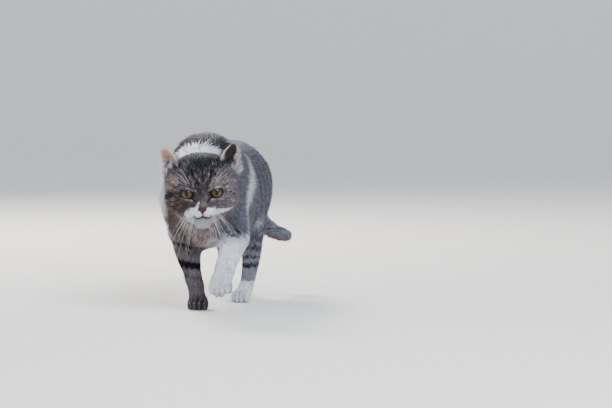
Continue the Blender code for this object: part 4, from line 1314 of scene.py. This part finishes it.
def unwrapped(skin, rows):
    """Corner places of some of the skin's triangles on a flat unwrap, charted by their facing."""
    tris, count = skin["tris"][rows], len(skin["verts"])
    facing = skin["facing"][tris].mean(axis=1)
    axis = np.abs(facing).argmax(axis=1)
    side = axis * 2 + (facing[np.arange(len(facing)), axis] > 0)
    used, small = np.unique(side[:, None] * count + tris, return_inverse=True)
    small = small.reshape(-1, 3)
    chart = np.unique(connected(len(used), edges_of(small)), return_inverse=True)[1]
    place, axis = skin["verts"][used % count], used // count // 2
    index = np.arange(len(used))
    flat = np.stack([place[index, (axis + 1) % 3], place[index, (axis + 2) % 3]], axis=1)
    low = np.full((chart.max() + 1, 2), FAR)
    high = np.full((chart.max() + 1, 2), -FAR)
    np.minimum.at(low, chart, flat)
    np.maximum.at(high, chart, flat)
    margin = 0.006 * (high - low).max()
    corners, side_length = packed(high - low + margin)
    return ((flat - low[chart] + corners[chart] + margin / 2) / side_length)[small]


def coat_piece(name, skin, coat, nodes, side):
    """One coat piece as a single joined mesh with its markings and bake map."""
    wanted = [NODE[node] for node in nodes]
    rows = np.where(np.isin(coat["node"], wanted))[0]
    if side:
        across = coat["root"][rows, 0]
        rows = rows[(across - np.median(across)) * side >= 0]
    own = np.unique(coat["chosen"][rows])
    flat = unwrapped(skin, own)
    where = np.full(len(skin["tris"]), -1)
    where[own] = np.arange(len(own))
    spot = (flat[where[coat["chosen"][rows]]] * coat["corner"][rows][:, :, None]).sum(axis=1)
    verts, tris, maps, alongs, picks = [], [], [], [], []
    start = 0
    short = coat["length"][rows] < SPIKE_LENGTH
    for chosen, maker in ((rows[~short], tuft_points), (rows[short], spike_points)):
        if not len(chosen):
            continue
        points, along, faces = maker(coat, chosen)
        each = points.shape[1]
        verts.append(points.reshape(-1, 3))
        offsets = start + np.arange(len(chosen))[:, None, None] * each
        tris.append((np.array(faces)[None] + offsets).reshape(-1, 3))
        start += len(chosen) * each
        across = (np.arange(each) % 3 - 1) * (np.arange(each) < each - 1)
        patch = np.stack([across * PATCH / 2, (along - 0.5) * PATCH], axis=1)
        centre = spot[short] if maker is spike_points else spot[~short]
        maps.append((centre[:, None] + patch[None]).reshape(-1, 2))
        alongs.append(np.tile(along, len(chosen)))
        picks.append(np.repeat(chosen, each))
    verts, tris, maps = np.vstack(verts), np.vstack(tris), np.vstack(maps)
    alongs, picks = np.concatenate(alongs), np.concatenate(picks)
    verts[:, 2] = np.maximum(verts[:, 2], FLOOR_GAP)
    piece = object_from(name, verts, tris)
    layer = piece.data.uv_layers.new(name="OFBake", do_init=False)
    layer.uv.foreach_set("vector", np.clip(maps, 0, 1)[tris.ravel()].astype(np.float32).ravel())
    colour_attribute(piece.data, "markings", coat["paint"][picks])
    float_attribute(piece.data, "along", alongs)
    float_attribute(piece.data, "chance", coat["chance"][picks])
    return piece


# ---- finishes ----
class Nodes:
    """Short calls for building a node tree."""

    def __init__(self, tree):
        self.tree = tree

    def add(self, kind, **settings):
        node = self.tree.nodes.new(kind)
        for name, value in settings.items():
            setattr(node, name, value)
        return node

    def link(self, start, end):
        self.tree.links.new(start, end)

    def put(self, socket, value):
        if isinstance(value, bpy.types.NodeSocket):
            self.link(value, socket)
        elif isinstance(value, tuple) and len(value) == 3 and socket.type == "RGBA":
            socket.default_value = (*value, 1.0)
        else:
            socket.default_value = value

    def maths(self, operation, first, second=0.0):
        node = self.add("ShaderNodeMath", operation=operation)
        self.put(node.inputs[0], first)
        self.put(node.inputs[1], second)
        return node.outputs[0]

    def mix(self, factor, first, second, blend="MIX"):
        node = self.add("ShaderNodeMix", data_type="RGBA", blend_type=blend)
        self.put(node.inputs[0], factor)
        self.put(node.inputs[6], first)
        self.put(node.inputs[7], second)
        return node.outputs[2]

    def step(self, value, low, high, to_low=0.0, to_high=1.0):
        node = self.add("ShaderNodeMapRange", interpolation_type="SMOOTHSTEP")
        for socket, number in zip(node.inputs, (value, low, high, to_low, to_high)):
            self.put(socket, number)
        return node.outputs[0]

    def ramp(self, value, stops):
        node = self.add("ShaderNodeValToRGB")
        elements = node.color_ramp.elements
        while len(elements) < len(stops):
            elements.new(0.5)
        for element, (place, colour) in zip(elements, stops):
            element.position = place
            element.color = (*colour, 1.0)
        self.put(node.inputs[0], value)
        return node.outputs[0]

    def noise(self, scale, detail=3.0, roughness=0.55, vector=None):
        node = self.add("ShaderNodeTexNoise")
        node.inputs["Scale"].default_value = scale
        node.inputs["Detail"].default_value = detail
        node.inputs["Roughness"].default_value = roughness
        self.put(node.inputs["Vector"], vector or self.add("ShaderNodeTexCoord").outputs["Object"])
        return node.outputs["Fac"]

    def bump(self, height, strength, distance):
        node = self.add("ShaderNodeBump")
        node.inputs["Strength"].default_value = strength
        node.inputs["Distance"].default_value = distance
        self.link(height, node.inputs["Height"])
        return node.outputs["Normal"]

    def attribute(self, name, output="Fac"):
        return self.add("ShaderNodeAttribute", attribute_name=name).outputs[output]


def new_group(name, inputs, outputs):
    """A shader node group with named sockets: (name, kind, default)."""
    tree = bpy.data.node_groups.new(name, "ShaderNodeTree")
    for label, kind, default in inputs:
        socket = tree.interface.new_socket(name=label, in_out="INPUT", socket_type=kind)
        socket.default_value = (*default, 1.0) if isinstance(default, tuple) else default
    for label, kind in outputs:
        tree.interface.new_socket(name=label, in_out="OUTPUT", socket_type=kind)
    nodes = Nodes(tree)
    return nodes, nodes.add("NodeGroupInput").outputs, nodes.add("NodeGroupOutput").inputs


FLOAT, COLOUR = "NodeSocketFloat", "NodeSocketColor"


def hair_tone_group():
    """Turns markings into hair colour: ticked grey tabby, near-black bands, tan and white."""
    inputs = (
        ("White", FLOAT, 0.0), ("Dark", FLOAT, 0.0), ("Warm", FLOAT, 0.0),
        ("Along", FLOAT, 0.5), ("Chance", FLOAT, 0.5), ("Ticking", FLOAT, 0.8),
        # Grey is a cool blue-grey: partly the coat's own grey, partly painted blue skylight
        ("Grey", COLOUR, (0.112, 0.127, 0.184)),
        ("Tan", COLOUR, (0.250, 0.140, 0.078)),
        ("Black", COLOUR, (0.0042, 0.0044, 0.0080)),
        # Snow's blue tint is painted skylight on white fur
        ("Snow", COLOUR, (0.88, 0.92, 1.00)),
    )
    nodes, given, made = new_group("hair_tone", inputs, (("Color", COLOUR),))
    warm = nodes.maths("MULTIPLY", given["Warm"], 0.85)
    ground = nodes.mix(warm, given["Grey"], given["Tan"])
    banding = nodes.ramp(
        given["Along"],
        (
            (0.0, (0.42, 0.42, 0.42)), (0.45, (0.85, 0.85, 0.85)),
            (0.80, (1.35, 1.32, 1.28)), (1.0, (1.0, 1.0, 1.0)),
        ),
    )
    ground = nodes.mix(1.0, ground, banding, "MULTIPLY")
    ticked = nodes.step(given["Chance"], 0.62, 0.80)
    ticking = nodes.maths("MULTIPLY", ticked, nodes.step(given["Along"], 0.35, 0.75, 0.25, 0.8))
    ticking = nodes.maths("MULTIPLY", ticking, given["Ticking"])
    ground = nodes.mix(ticking, ground, given["Black"])
    silver = nodes.step(given["Chance"], 0.10, 0.04)
    silver = nodes.maths("MULTIPLY", silver, nodes.maths("MULTIPLY", given["Ticking"], 0.28))
    ground = nodes.mix(silver, ground, given["Snow"])
    greyer = nodes.step(given["Chance"], 0.92, 0.98, 0.0, 0.45)
    black = nodes.mix(greyer, given["Black"], given["Grey"])
    stray = nodes.maths("SUBTRACT", given["Chance"], 0.5)
    spread = nodes.maths("ADD", given["Dark"], nodes.maths("MULTIPLY", stray, 0.35))
    tabby = nodes.mix(nodes.step(spread, 0.10, 0.92), ground, black)
    rooted = nodes.step(given["Along"], 0.0, 0.45, 0.30, 0.0)
    snow = nodes.mix(rooted, given["Snow"], (0.40, 0.40, 0.43))
    edge = nodes.maths("ADD", given["White"], nodes.maths("MULTIPLY", stray, 0.30))
    nodes.link(nodes.mix(nodes.step(edge, 0.12, 0.92), tabby, snow), made["Color"])
    return nodes.tree


def tone_in(nodes, group, along, chance):
    """Places the hair-tone group in a material, fed by the piece's own markings."""
    tone = nodes.add("ShaderNodeGroup", node_tree=group)
    parts = nodes.add("ShaderNodeSeparateColor")
    nodes.link(nodes.attribute("markings", "Color"), parts.inputs[0])
    for label, output in zip(("White", "Dark", "Warm"), parts.outputs):
        nodes.link(output, tone.inputs[label])
    nodes.put(tone.inputs["Along"], along)
    nodes.put(tone.inputs["Chance"], chance)
    return tone.outputs["Color"]


def shaded(name, roughness, **sockets):
    """A material with its Principled shader's constants set."""
    made = bpy.data.materials.new(name)
    made.use_nodes = True
    nodes = Nodes(made.node_tree)
    shader = made.node_tree.nodes["Principled BSDF"]
    shader.inputs["Roughness"].default_value = roughness
    for label, value in sockets.items():
        nodes.put(shader.inputs[label.replace("_", " ")], value)
    return made, nodes, shader


def coat_finish(name, group, ticking, tan=None):
    """Hair: the shared tones with this much ticking, in slightly lighter and darker patches."""
    made, nodes, shader = shaded(name, 0.62, Specular_IOR_Level=0.12)
    colour = tone_in(nodes, group, nodes.attribute("along"), nodes.attribute("chance"))
    colour.node.inputs["Ticking"].default_value = ticking
    if tan is not None:
        colour.node.inputs["Tan"].default_value = (*tan, 1.0)
    patch = nodes.noise(95.0, 2.0)
    shade = nodes.ramp(patch, ((0.25, (0.84, 0.84, 0.85)), (0.75, (1.12, 1.12, 1.11))))
    colour = nodes.mix(1.0, colour, shade, "MULTIPLY")
    nodes.link(colour, shader.inputs["Base Color"])
    roughness = nodes.step(nodes.attribute("chance"), 0.0, 1.0, 0.52, 0.74)
    nodes.link(roughness, shader.inputs["Roughness"])
    return made


def skin_finish(group):
    """Skin with its undercoat: the coat's own markings, bare on lids, mouth, ears and soles."""
    made, nodes, shader = shaded("skin", 0.7, Specular_IOR_Level=0.12)
    fine = nodes.noise(1400.0, 2.0)
    undercoat = nodes.mix(1.0, tone_in(nodes, group, 0.55, fine), (0.72, 0.72, 0.72), "MULTIPLY")
    mottle = nodes.ramp(nodes.noise(420.0), ((0.3, (0.80, 0.78, 0.78)), (0.7, (1.15, 1.14, 1.12))))
    bare = nodes.mix(1.0, nodes.attribute("bare_colour", "Color"), mottle, "MULTIPLY")
    colour = nodes.mix(nodes.attribute("bare"), undercoat, bare)
    nodes.link(colour, shader.inputs["Base Color"])
    nodes.link(nodes.step(nodes.attribute("bare"), 0.0, 1.0, 0.75, 0.48), shader.inputs["Roughness"])
    pores = nodes.bump(nodes.noise(900.0, 4.0, 0.6), 0.45, 0.0006)
    nodes.link(pores, shader.inputs["Normal"])
    return made


LID_TONE = (0.0045, 0.0035, 0.0035)
MOUTH_TONE = (0.040, 0.027, 0.026)
# inside the ears: the right ear's bright peach is painted light shining through it, the left ear's
# near-black is painted shade
EAR_INSIDE_LIT_AND_SHADED = {-1: (0.80, 0.40, 0.26), 1: (0.052, 0.030, 0.023)}
# this bright tan is partly painted light: it gives the right ear's hair the glow of light shining
# through it
EAR_TAN = (0.62, 0.34, 0.18)  # the tan of the hair on the ears
SOLE_TONE = (0.30, 0.17, 0.16)


def bare_places(skin):
    """How bare each place of the skin is, and its own colour there."""
    place = in_head(skin["verts"])
    bare = np.zeros(len(place))
    colour = np.tile(LID_TONE, (len(place), 1))
    head = skin["share"][:, HEAD] > 0.4
    for side in SIDES:
        gap, _ = lid_place(place, side)
        bare = np.maximum(bare, smoothstep(1.22, 1.12, gap) * head)
    front = smoothstep(0.006, 0.0, place[:, 1]) * head
    for path, width in ((MOUTH, 0.0013), (PHILTRUM, 0.0008)):
        line = smoothstep(width, width * 0.5, groove_gap(place, path)) * front
        colour = np.where(line[:, None] > 0.05, MOUTH_TONE, colour)
        bare = np.maximum(bare, line)
    for side, tone in EAR_INSIDE_LIT_AND_SHADED.items():
        inner = ear_hollow(place, skin, side)
        colour = np.where(inner[:, None] > 0.02, tone, colour)
        bare = np.maximum(bare, inner)
    sole = paw_pads(skin["verts"], skin["normals"])
    colour = np.where(sole[:, None] > 0.02, SOLE_TONE, colour)
    return np.maximum(bare, sole), colour


def ear_hollow(place, skin, side):
    """1 on the hollow inside of one ear."""
    facing = unit(skin["normals"] @ HEAD_MATRIX[:3, :3])
    ahead = -facing[:, 1] * 0.8 + facing[:, 0] * side * 0.5
    own = (place[:, 0] * side > 0.028) * smoothstep(0.35, 0.75, skin["share"][:, EARS])
    return own * smoothstep(0.0, 0.35, ahead)


# ---- eyes ----
EYE_RINGS, EYE_AROUND = 64, 96
CORNEA_RADIUS, CORNEA_BULGE = 0.0082, 0.0008
IRIS_RADIUS, PUPIL_HALF_WIDTH, PUPIL_HALF_HEIGHT = 0.0088, 0.0018, 0.0054


def eyeball(name, side):
    """An eyeball with a bulging cornea; places on the iris are kept at each vertex."""
    rings, around = EYE_RINGS, EYE_AROUND
    middle, _, _, forward = eye_axes(side)
    outward = unit(np.cross(forward, np.array((0.0, 0.0, 1.0))))
    upward = np.cross(outward, forward)
    polar = np.pi * (np.arange(1, rings) / rings) ** 1.25
    turn = 2 * np.pi * np.arange(around) / around
    across = np.concatenate([[0.0], (np.sin(polar)[:, None] * np.cos(turn)).ravel(), [0.0]])
    rise = np.concatenate([[0.0], (np.sin(polar)[:, None] * np.sin(turn)).ravel(), [0.0]])
    ahead = np.concatenate([[1.0], np.repeat(np.cos(polar), around), [-1.0]])
    from_axis = np.hypot(across, rise) * EYE_RADIUS
    bulge = CORNEA_BULGE * np.maximum(1 - (from_axis / CORNEA_RADIUS) ** 2, 0) ** 2 * (ahead > 0)
    spokes = across[:, None] * outward + rise[:, None] * upward + ahead[:, None] * forward
    verts = out_of_head(middle + spokes * (EYE_RADIUS + bulge)[:, None])
    tris = []
    last = len(verts) - 1
    for k in range(around):
        after = (k + 1) % around
        tris.append((0, 1 + k, 1 + after))
        tris.append((last, last - around + after, last - around + k))
        for ring in range(rings - 2):
            a, b = 1 + ring * around + k, 1 + ring * around + after
            tris += [(a, a + around, b + around), (a, b + around, b)]
    tris = np.array(tris)
    a, b, c = verts[tris[0]]
    if np.dot(np.cross(b - a, c - a), forward @ HEAD_MATRIX[:3, :3].T) < 0:
        tris = tris[:, ::-1]
    made = object_from(name, verts, tris)
    front = (ahead > 0).astype(float)
    scale = EYE_RADIUS / IRIS_RADIUS
    spot = np.stack([across * scale, rise * scale, front], axis=1)
    colour_attribute(made.data, "iris_place", spot * 0.5 + 0.5)
    return made


def eye_finish():
    """A gold-brown iris with fibres, with the upper lid's shadow painted on as darker colour above,
    and a slit pupil.
    """
    made, nodes, shader = shaded(
        "iris", 0.30, Specular_IOR_Level=0.05, Coat_Weight=0.75, Coat_Roughness=0.02, Coat_IOR=1.30
    )
    split = nodes.add("ShaderNodeSeparateColor")
    nodes.link(nodes.attribute("iris_place", "Color"), split.inputs[0])
    across, rise = (nodes.maths("MULTIPLY_ADD", split.outputs[k], 2.0) for k in (0, 1))
    for doubled in (across, rise):
        doubled.node.inputs[2].default_value = -1.0
    squares = [nodes.maths("MULTIPLY", part, part) for part in (across, rise)]
    radius = nodes.maths("SQRT", nodes.maths("ADD", *squares))
    angle = nodes.maths("ARCTAN2", rise, across)
    spokes = nodes.add("ShaderNodeCombineXYZ")
    nodes.link(nodes.maths("MULTIPLY", angle, 9.0), spokes.inputs[0])
    nodes.link(nodes.maths("MULTIPLY", radius, 2.2), spokes.inputs[1])
    fibres = nodes.noise(2.4, 4.0, 0.65, spokes.outputs[0])
    gold = nodes.ramp(
        radius,
        (
            (0.0, (0.026, 0.016, 0.006)), (0.38, (0.052, 0.037, 0.015)),
            (0.66, (0.092, 0.075, 0.033)), (0.84, (0.050, 0.042, 0.019)),
            (0.97, (0.010, 0.008, 0.005)),
        ),
    )
    streaks = nodes.ramp(fibres, ((0.28, (0.42, 0.40, 0.36)), (0.72, (1.35, 1.32, 1.2))))
    gold = nodes.mix(1.0, gold, streaks, "MULTIPLY")
    # painted shadow of the upper lid: darker above the iris's middle, a little brighter below
    shade = nodes.ramp(split.outputs[1], ((0.42, (1.25, 1.22, 1.18)), (0.72, (0.36, 0.34, 0.32))))
    gold = nodes.mix(1.0, gold, shade, "MULTIPLY")
    flat = nodes.maths("ABSOLUTE", nodes.maths("DIVIDE", across, PUPIL_HALF_WIDTH / IRIS_RADIUS))
    tall = nodes.maths("ABSOLUTE", nodes.maths("DIVIDE", rise, PUPIL_HALF_HEIGHT / IRIS_RADIUS))
    slit = nodes.maths("ADD", flat, nodes.maths("POWER", tall, 2.2))
    colour = nodes.mix(nodes.step(slit, 0.92, 1.08), (0.002, 0.002, 0.002), gold)
    colour = nodes.mix(nodes.step(radius, 0.98, 1.05), colour, (0.012, 0.008, 0.006))
    nodes.link(colour, shader.inputs["Base Color"])
    return made


# ---- nose ----
NOSE_VOXEL = 0.00042
# the hollows that make a nostril, in the head's frame: (X, Z, size, depth)
NOSTRIL = ((0.0034, -0.0236, 0.0011, 0.0021), (0.0047, -0.0229, 0.0008, 0.0012))


def nose_leather():
    """The bare nose: wide above, with a nostril each side and a groove down the middle."""
    verts, tris = triangles_of(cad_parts["nose"].data)
    verts, tris = with_modifier(verts - SHIFT, tris, "REMESH", mode="VOXEL", voxel_size=NOSE_VOXEL)
    edges = edges_of(tris)
    place = in_head(relaxed(verts, edges, 4))
    x, z = place[:, 0], place[:, 2]
    wing = bell(np.abs(x) - 0.0052, 0.0016) * smoothstep(-0.0255, -0.0215, z)
    place[:, 0] += np.sign(x) * wing * 0.0006
    for side in SIDES:
        for hole_x, hole_z, size, deep in NOSTRIL:
            gap = np.hypot((x - side * hole_x), (z - hole_z) * 1.25)
            place[:, 1] += deep * bell(gap, size) * (place[:, 1] < -0.0185)
    place[:, 1] += 0.0007 * bell(x, 0.00045) * smoothstep(-0.0195, -0.0225, z)
    place = relaxed(place, edges, 1, 0.3)
    # painted shade in the nostril openings
    nostril_shade = np.zeros(len(x))
    for side in SIDES:
        gap = np.hypot((x - side * 0.0038) / 1.5, z + 0.0234)
        nostril_shade = np.maximum(nostril_shade, smoothstep(0.0010, 0.0004, gap) * (place[:, 1] < -0.017))
    made = object_from("nose_leather", out_of_head(place), tris)
    float_attribute(made.data, "nostril_shade", nostril_shade)
    float_attribute(made.data, "edge", smoothstep(0.0040, 0.0066, np.abs(x) + 0.25 * (-0.020 - z)))
    return made


def nose_finish():
    """Brown leather with a pebbled surface, darker at its edge, with painted shade in the nostrils.
    """
    made, nodes, shader = shaded("nose_leather", 0.45, Specular_IOR_Level=0.28)
    pebbles = nodes.add("ShaderNodeTexVoronoi")
    pebbles.inputs["Scale"].default_value = 1900.0
    nodes.link(nodes.add("ShaderNodeTexCoord").outputs["Object"], pebbles.inputs["Vector"])
    browns = ((0.3, (0.031, 0.010, 0.007)), (0.7, (0.054, 0.018, 0.012)))
    tone = nodes.ramp(nodes.noise(500.0), browns)
    tone = nodes.mix(nodes.attribute("edge"), tone, (0.022, 0.010, 0.009))
    # near-black where shade is painted in the nostrils
    tone = nodes.mix(nodes.attribute("nostril_shade"), tone, (0.010, 0.006, 0.006))
    nodes.link(tone, shader.inputs["Base Color"])
    nodes.link(nodes.bump(pebbles.outputs["Distance"], 0.35, 0.0003), shader.inputs["Normal"])
    return made


# ---- whiskers ----
CHEEK_WHISKER, BROW_WHISKER = 0.00015, 0.00013  # their radius at the root
WHISKER_STEPS, WHISKER_SIDES = 10, 6
WHISKER_FALL = np.array((0.0, 0.42, -1.0))  # which way they sink, in the head's frame


def whisker_line(root, way, droop, length):
    """A bending line from a root, in the head's frame: it starts along way and sinks by droop."""
    t = np.linspace(0, 1, WHISKER_STEPS)[:, None]
    way = np.array(way, float) / np.linalg.norm(way)
    fall = WHISKER_FALL * droop
    return np.array(root) + (way * t + fall * t * t) * length


def whisker_lines(dice):
    """Cheek whiskers in four rows, brow whiskers, and the short ones on the chin."""
    lines = []
    for side in SIDES:
        for row in range(4):
            for place in range(3 if row in (1, 2) else 2):
                x = 0.0090 + 0.0042 * place + 0.0010 * row
                z = -0.0225 - 0.0033 * row - 0.0006 * place
                y = -0.0175 + 0.030 * (x / 0.03) ** 2.4
                spread = 0.50 + 0.22 * place + dice.normal(0, 0.09)
                way = (side * spread, -0.40 + 0.10 * place, -0.45 - 0.16 * row + 0.06 * place)
                length = 0.036 + 0.005 * place + 0.004 * (row in (1, 2))
                length *= 0.9 + 0.2 * dice.random()
                line = whisker_line((side * x, y, z), way, 0.60 + 0.10 * row, length)
                lines.append((line, CHEEK_WHISKER))
        for k in range(3):
            root = (side * (0.0180 + 0.0030 * k), -0.0002 + 0.0008 * k, 0.0150 + 0.0012 * k)
            way = (side * (0.42 + 0.24 * k), -0.30, 0.95 - 0.12 * k)
            line = whisker_line(root, way, 0.12, 0.030 + 0.004 * dice.random())
            lines.append((line, BROW_WHISKER))
        for k in range(2):
            root = (side * (0.005 + 0.004 * k), -0.0165, -0.046 - 0.002 * k)
            line = whisker_line(root, (side * 0.5, -0.5, -0.6), 0.3, 0.016)
            lines.append((line, BROW_WHISKER))
    return lines


WHISKER_INPUTS = (
    ("Geometry", "NodeSocketGeometry"),
    ("Root radius scale", "NodeSocketFloat"),
    ("Sides", "NodeSocketInt"),
    ("Finish", "NodeSocketMaterial"),
)
TREE_ENDING = (
    "GeometryNodeSetShadeSmooth",
    "GeometryNodeRealizeInstances",
    "GeometryNodeSetMaterial",
)


def whisker_tree():
    """Curves along the lines, tapered from root to tip."""
    tree = bpy.data.node_groups.new("whiskers", "GeometryNodeTree")
    _, thick, sides, finish = (
        tree.interface.new_socket(name=name, in_out="INPUT", socket_type=kind)
        for name, kind in WHISKER_INPUTS
    )
    tree.interface.new_socket(name="Geometry", in_out="OUTPUT", socket_type="NodeSocketGeometry")
    nodes = Nodes(tree)
    given, made = nodes.add("NodeGroupInput").outputs, nodes.add("NodeGroupOutput").inputs
    curve = nodes.add("GeometryNodeMeshToCurve")
    nodes.link(given["Geometry"], curve.inputs["Mesh"])
    radius = nodes.add("GeometryNodeSetCurveRadius")
    nodes.link(curve.outputs[0], radius.inputs["Curve"])
    own = nodes.add("GeometryNodeInputNamedAttribute", data_type="FLOAT")
    own.inputs["Name"].default_value = "radius_here"
    reach = nodes.maths("MULTIPLY", own.outputs["Attribute"], given["Root radius scale"])
    nodes.link(reach, radius.inputs["Radius"])
    ring = nodes.add("GeometryNodeCurvePrimitiveCircle")
    ring.inputs["Radius"].default_value = 1.0
    nodes.link(given["Sides"], ring.inputs["Resolution"])
    tube = nodes.add("GeometryNodeCurveToMesh")
    nodes.link(radius.outputs[0], tube.inputs["Curve"])
    nodes.link(ring.outputs[0], tube.inputs["Profile Curve"])
    tube.inputs["Fill Caps"].default_value = True
    nodes.link(reach, tube.inputs["Scale"])
    last = tube
    for kind in TREE_ENDING:
        after = nodes.add(kind)
        nodes.link(last.outputs[0], after.inputs[0])
        last = after
    nodes.link(given["Finish"], last.inputs["Material"])
    nodes.link(last.outputs[0], made["Geometry"])
    return tree, thick.identifier, sides.identifier, finish.identifier


def whiskers(dice):
    """All the whiskers as one plain mesh."""
    finish, nodes, shader = shaded("whisker", 0.35, Specular_IOR_Level=0.5)
    tone = nodes.ramp(nodes.noise(120.0), ((0.3, (0.74, 0.73, 0.71)), (0.7, (0.90, 0.89, 0.88))))
    nodes.link(tone, shader.inputs["Base Color"])
    verts, edges, radii = [], [], []
    for line, thick in whisker_lines(dice):
        start = len(verts)
        verts += (out_of_head(line) + SHIFT).tolist()
        edges += [(start + k, start + k + 1) for k in range(len(line) - 1)]
        radii += (thick * np.linspace(1, 0.22, len(line)) ** 0.8).tolist()
    mesh = bpy.data.meshes.new("whisker_lines")
    mesh.from_pydata(verts, edges, [])
    float_attribute(mesh, "radius_here", np.array(radii))
    carrier = placed("whisker_lines", mesh)
    tree, thick, sides, material = whisker_tree()
    modifier = carrier.modifiers.new("whiskers", "NODES")
    modifier.node_group = tree
    modifier[thick] = 1.0
    modifier[sides] = WHISKER_SIDES
    modifier[material] = finish
    grown = evaluated_mesh(carrier)
    carrier.modifiers.remove(modifier)
    bpy.data.objects.remove(carrier)
    return placed("whiskers", grown)


# ---- claws ----
CLAW_LENGTH, CLAW_ROOT, CLAW_TIP = 0.0052, 0.00090, 0.00005  # its length and its radii
CLAW_BEND = math.radians(62)
CLAW_FLATNESS = 0.6  # how wide it is for its height
CLAW_FROM_TOE, CLAW_RISE = 0.0062, 0.0006
CLAW_RINGS, CLAW_AROUND = 9, 10
CLAW_FLOOR_GAP = 0.0006


def claw(paw, across, ahead):
    """One hooked claw: rings of shrinking size along a curve that bends down from the toe's end."""
    middle, _, _, width = PAWS[paw]
    root = np.array((across * PAW_HALF_WIDTH * width, ahead - CLAW_FROM_TOE, CLAW_RISE))
    rings, around = CLAW_RINGS, CLAW_AROUND
    t = np.linspace(0, 1, rings)
    bend = t * CLAW_BEND
    line = np.stack([0 * t, -np.sin(bend), np.cos(bend) - 1], axis=1) * (CLAW_LENGTH / CLAW_BEND)
    normal = np.stack([0 * t, np.sin(bend), np.cos(bend)], axis=1)
    size = CLAW_ROOT * (1 - t) ** 0.7 + CLAW_TIP
    angle = np.linspace(0, 2 * math.pi, around, endpoint=False)
    side = np.array((1.0, 0.0, 0.0)) * np.cos(angle)[:, None] * CLAW_FLATNESS
    ring = side[None] + normal[:, None] * np.sin(angle)[None, :, None]
    verts = (root + line)[:, None] + ring * size[:, None, None]
    verts = verts.reshape(-1, 3) @ paw_turn(paw).T + np.array(middle)
    faces = []
    for k in range(rings - 1):
        for n in range(around):
            a, b = k * around + n, k * around + (n + 1) % around
            faces += [(a, b, b + around), (a, b + around, a + around)]
    for n in range(1, around - 1):
        faces.append((0, n + 1, n))
        faces.append(tuple((rings - 1) * around + m for m in (0, n, n + 1)))
    return verts, np.array(faces), np.repeat(t, around)


def claws():
    """The drawn-in claws of every paw; only their tips come out between the hairs."""
    verts, tris, along, start = [], [], [], 0
    for paw in PAWS:
        for across, ahead in TOES:
            points, faces, t = claw(paw, across, ahead)
            points[:, 2] = np.maximum(points[:, 2], CLAW_FLOOR_GAP)
            verts.append(points)
            tris.append(faces + start)
            along.append(t)
            start += len(points)
    made = object_from("claws", np.vstack(verts), np.vstack(tris))
    float_attribute(made.data, "along", np.concatenate(along))
    return made


def claw_finish():
    """Horn: grey-brown at the root, pale and clear towards the tip."""
    made, nodes, shader = shaded("claw_horn", 0.30, Specular_IOR_Level=0.5)
    horn = nodes.ramp(
        nodes.attribute("along"),
        ((0.0, (0.20, 0.15, 0.13)), (0.5, (0.42, 0.36, 0.31)), (1.0, (0.62, 0.57, 0.50))),
    )
    greys = ((0.3, (0.85, 0.84, 0.83)), (0.7, (1.1, 1.09, 1.07)))
    streaks = nodes.ramp(nodes.noise(900.0), greys)
    nodes.link(nodes.mix(1.0, horn, streaks, "MULTIPLY"), shader.inputs["Base Color"])
    return made


# ---- putting the cat together ----
def finish_piece(piece, material=None):
    """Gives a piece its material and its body."""
    if material is not None:
        piece.data.materials.clear()
        piece.data.materials.append(material)
    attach(piece, "root")
    return piece


def build_cat():
    dice = np.random.default_rng(20)
    group = hair_tone_group()
    skin = grow_skin()
    body = object_from("skin", skin["verts"], skin["tris"])
    outer = skin["verts"] + skin["normals"] * skin["depth"][:, None]
    colour_attribute(body.data, "markings", marks(outer, skin["normals"], skin["share"]))
    bare, bare_colour = bare_places(skin)
    float_attribute(body.data, "bare", bare)
    colour_attribute(body.data, "bare_colour", bare_colour)
    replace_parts(finish_piece(body, skin_finish(group)), *FLESH)
    coat = comb_coat(skin, dice)
    sharp, soft = coat_finish("coat_ticked", group, 0.85), coat_finish("coat_soft", group, 0.40)
    finishes = {"coat_ears": coat_finish("coat_ear", group, 0.40, EAR_TAN)}
    for name, (nodes, slot, side) in COAT_PIECES.items():
        hair = finishes.get(name, sharp if name.startswith("coat_head") else soft)
        finish_piece(coat_piece(name, skin, coat, nodes, side), hair)
    iris = eye_finish()
    for name, side in (("eye_right", -1), ("eye_left", 1)):
        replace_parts(finish_piece(eyeball(name + "_glossy", side), iris), name)
    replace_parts(finish_piece(nose_leather(), nose_finish()), "nose")
    finish_piece(whiskers(dice))
    finish_piece(claws(), claw_finish())


studio()
build_cat()
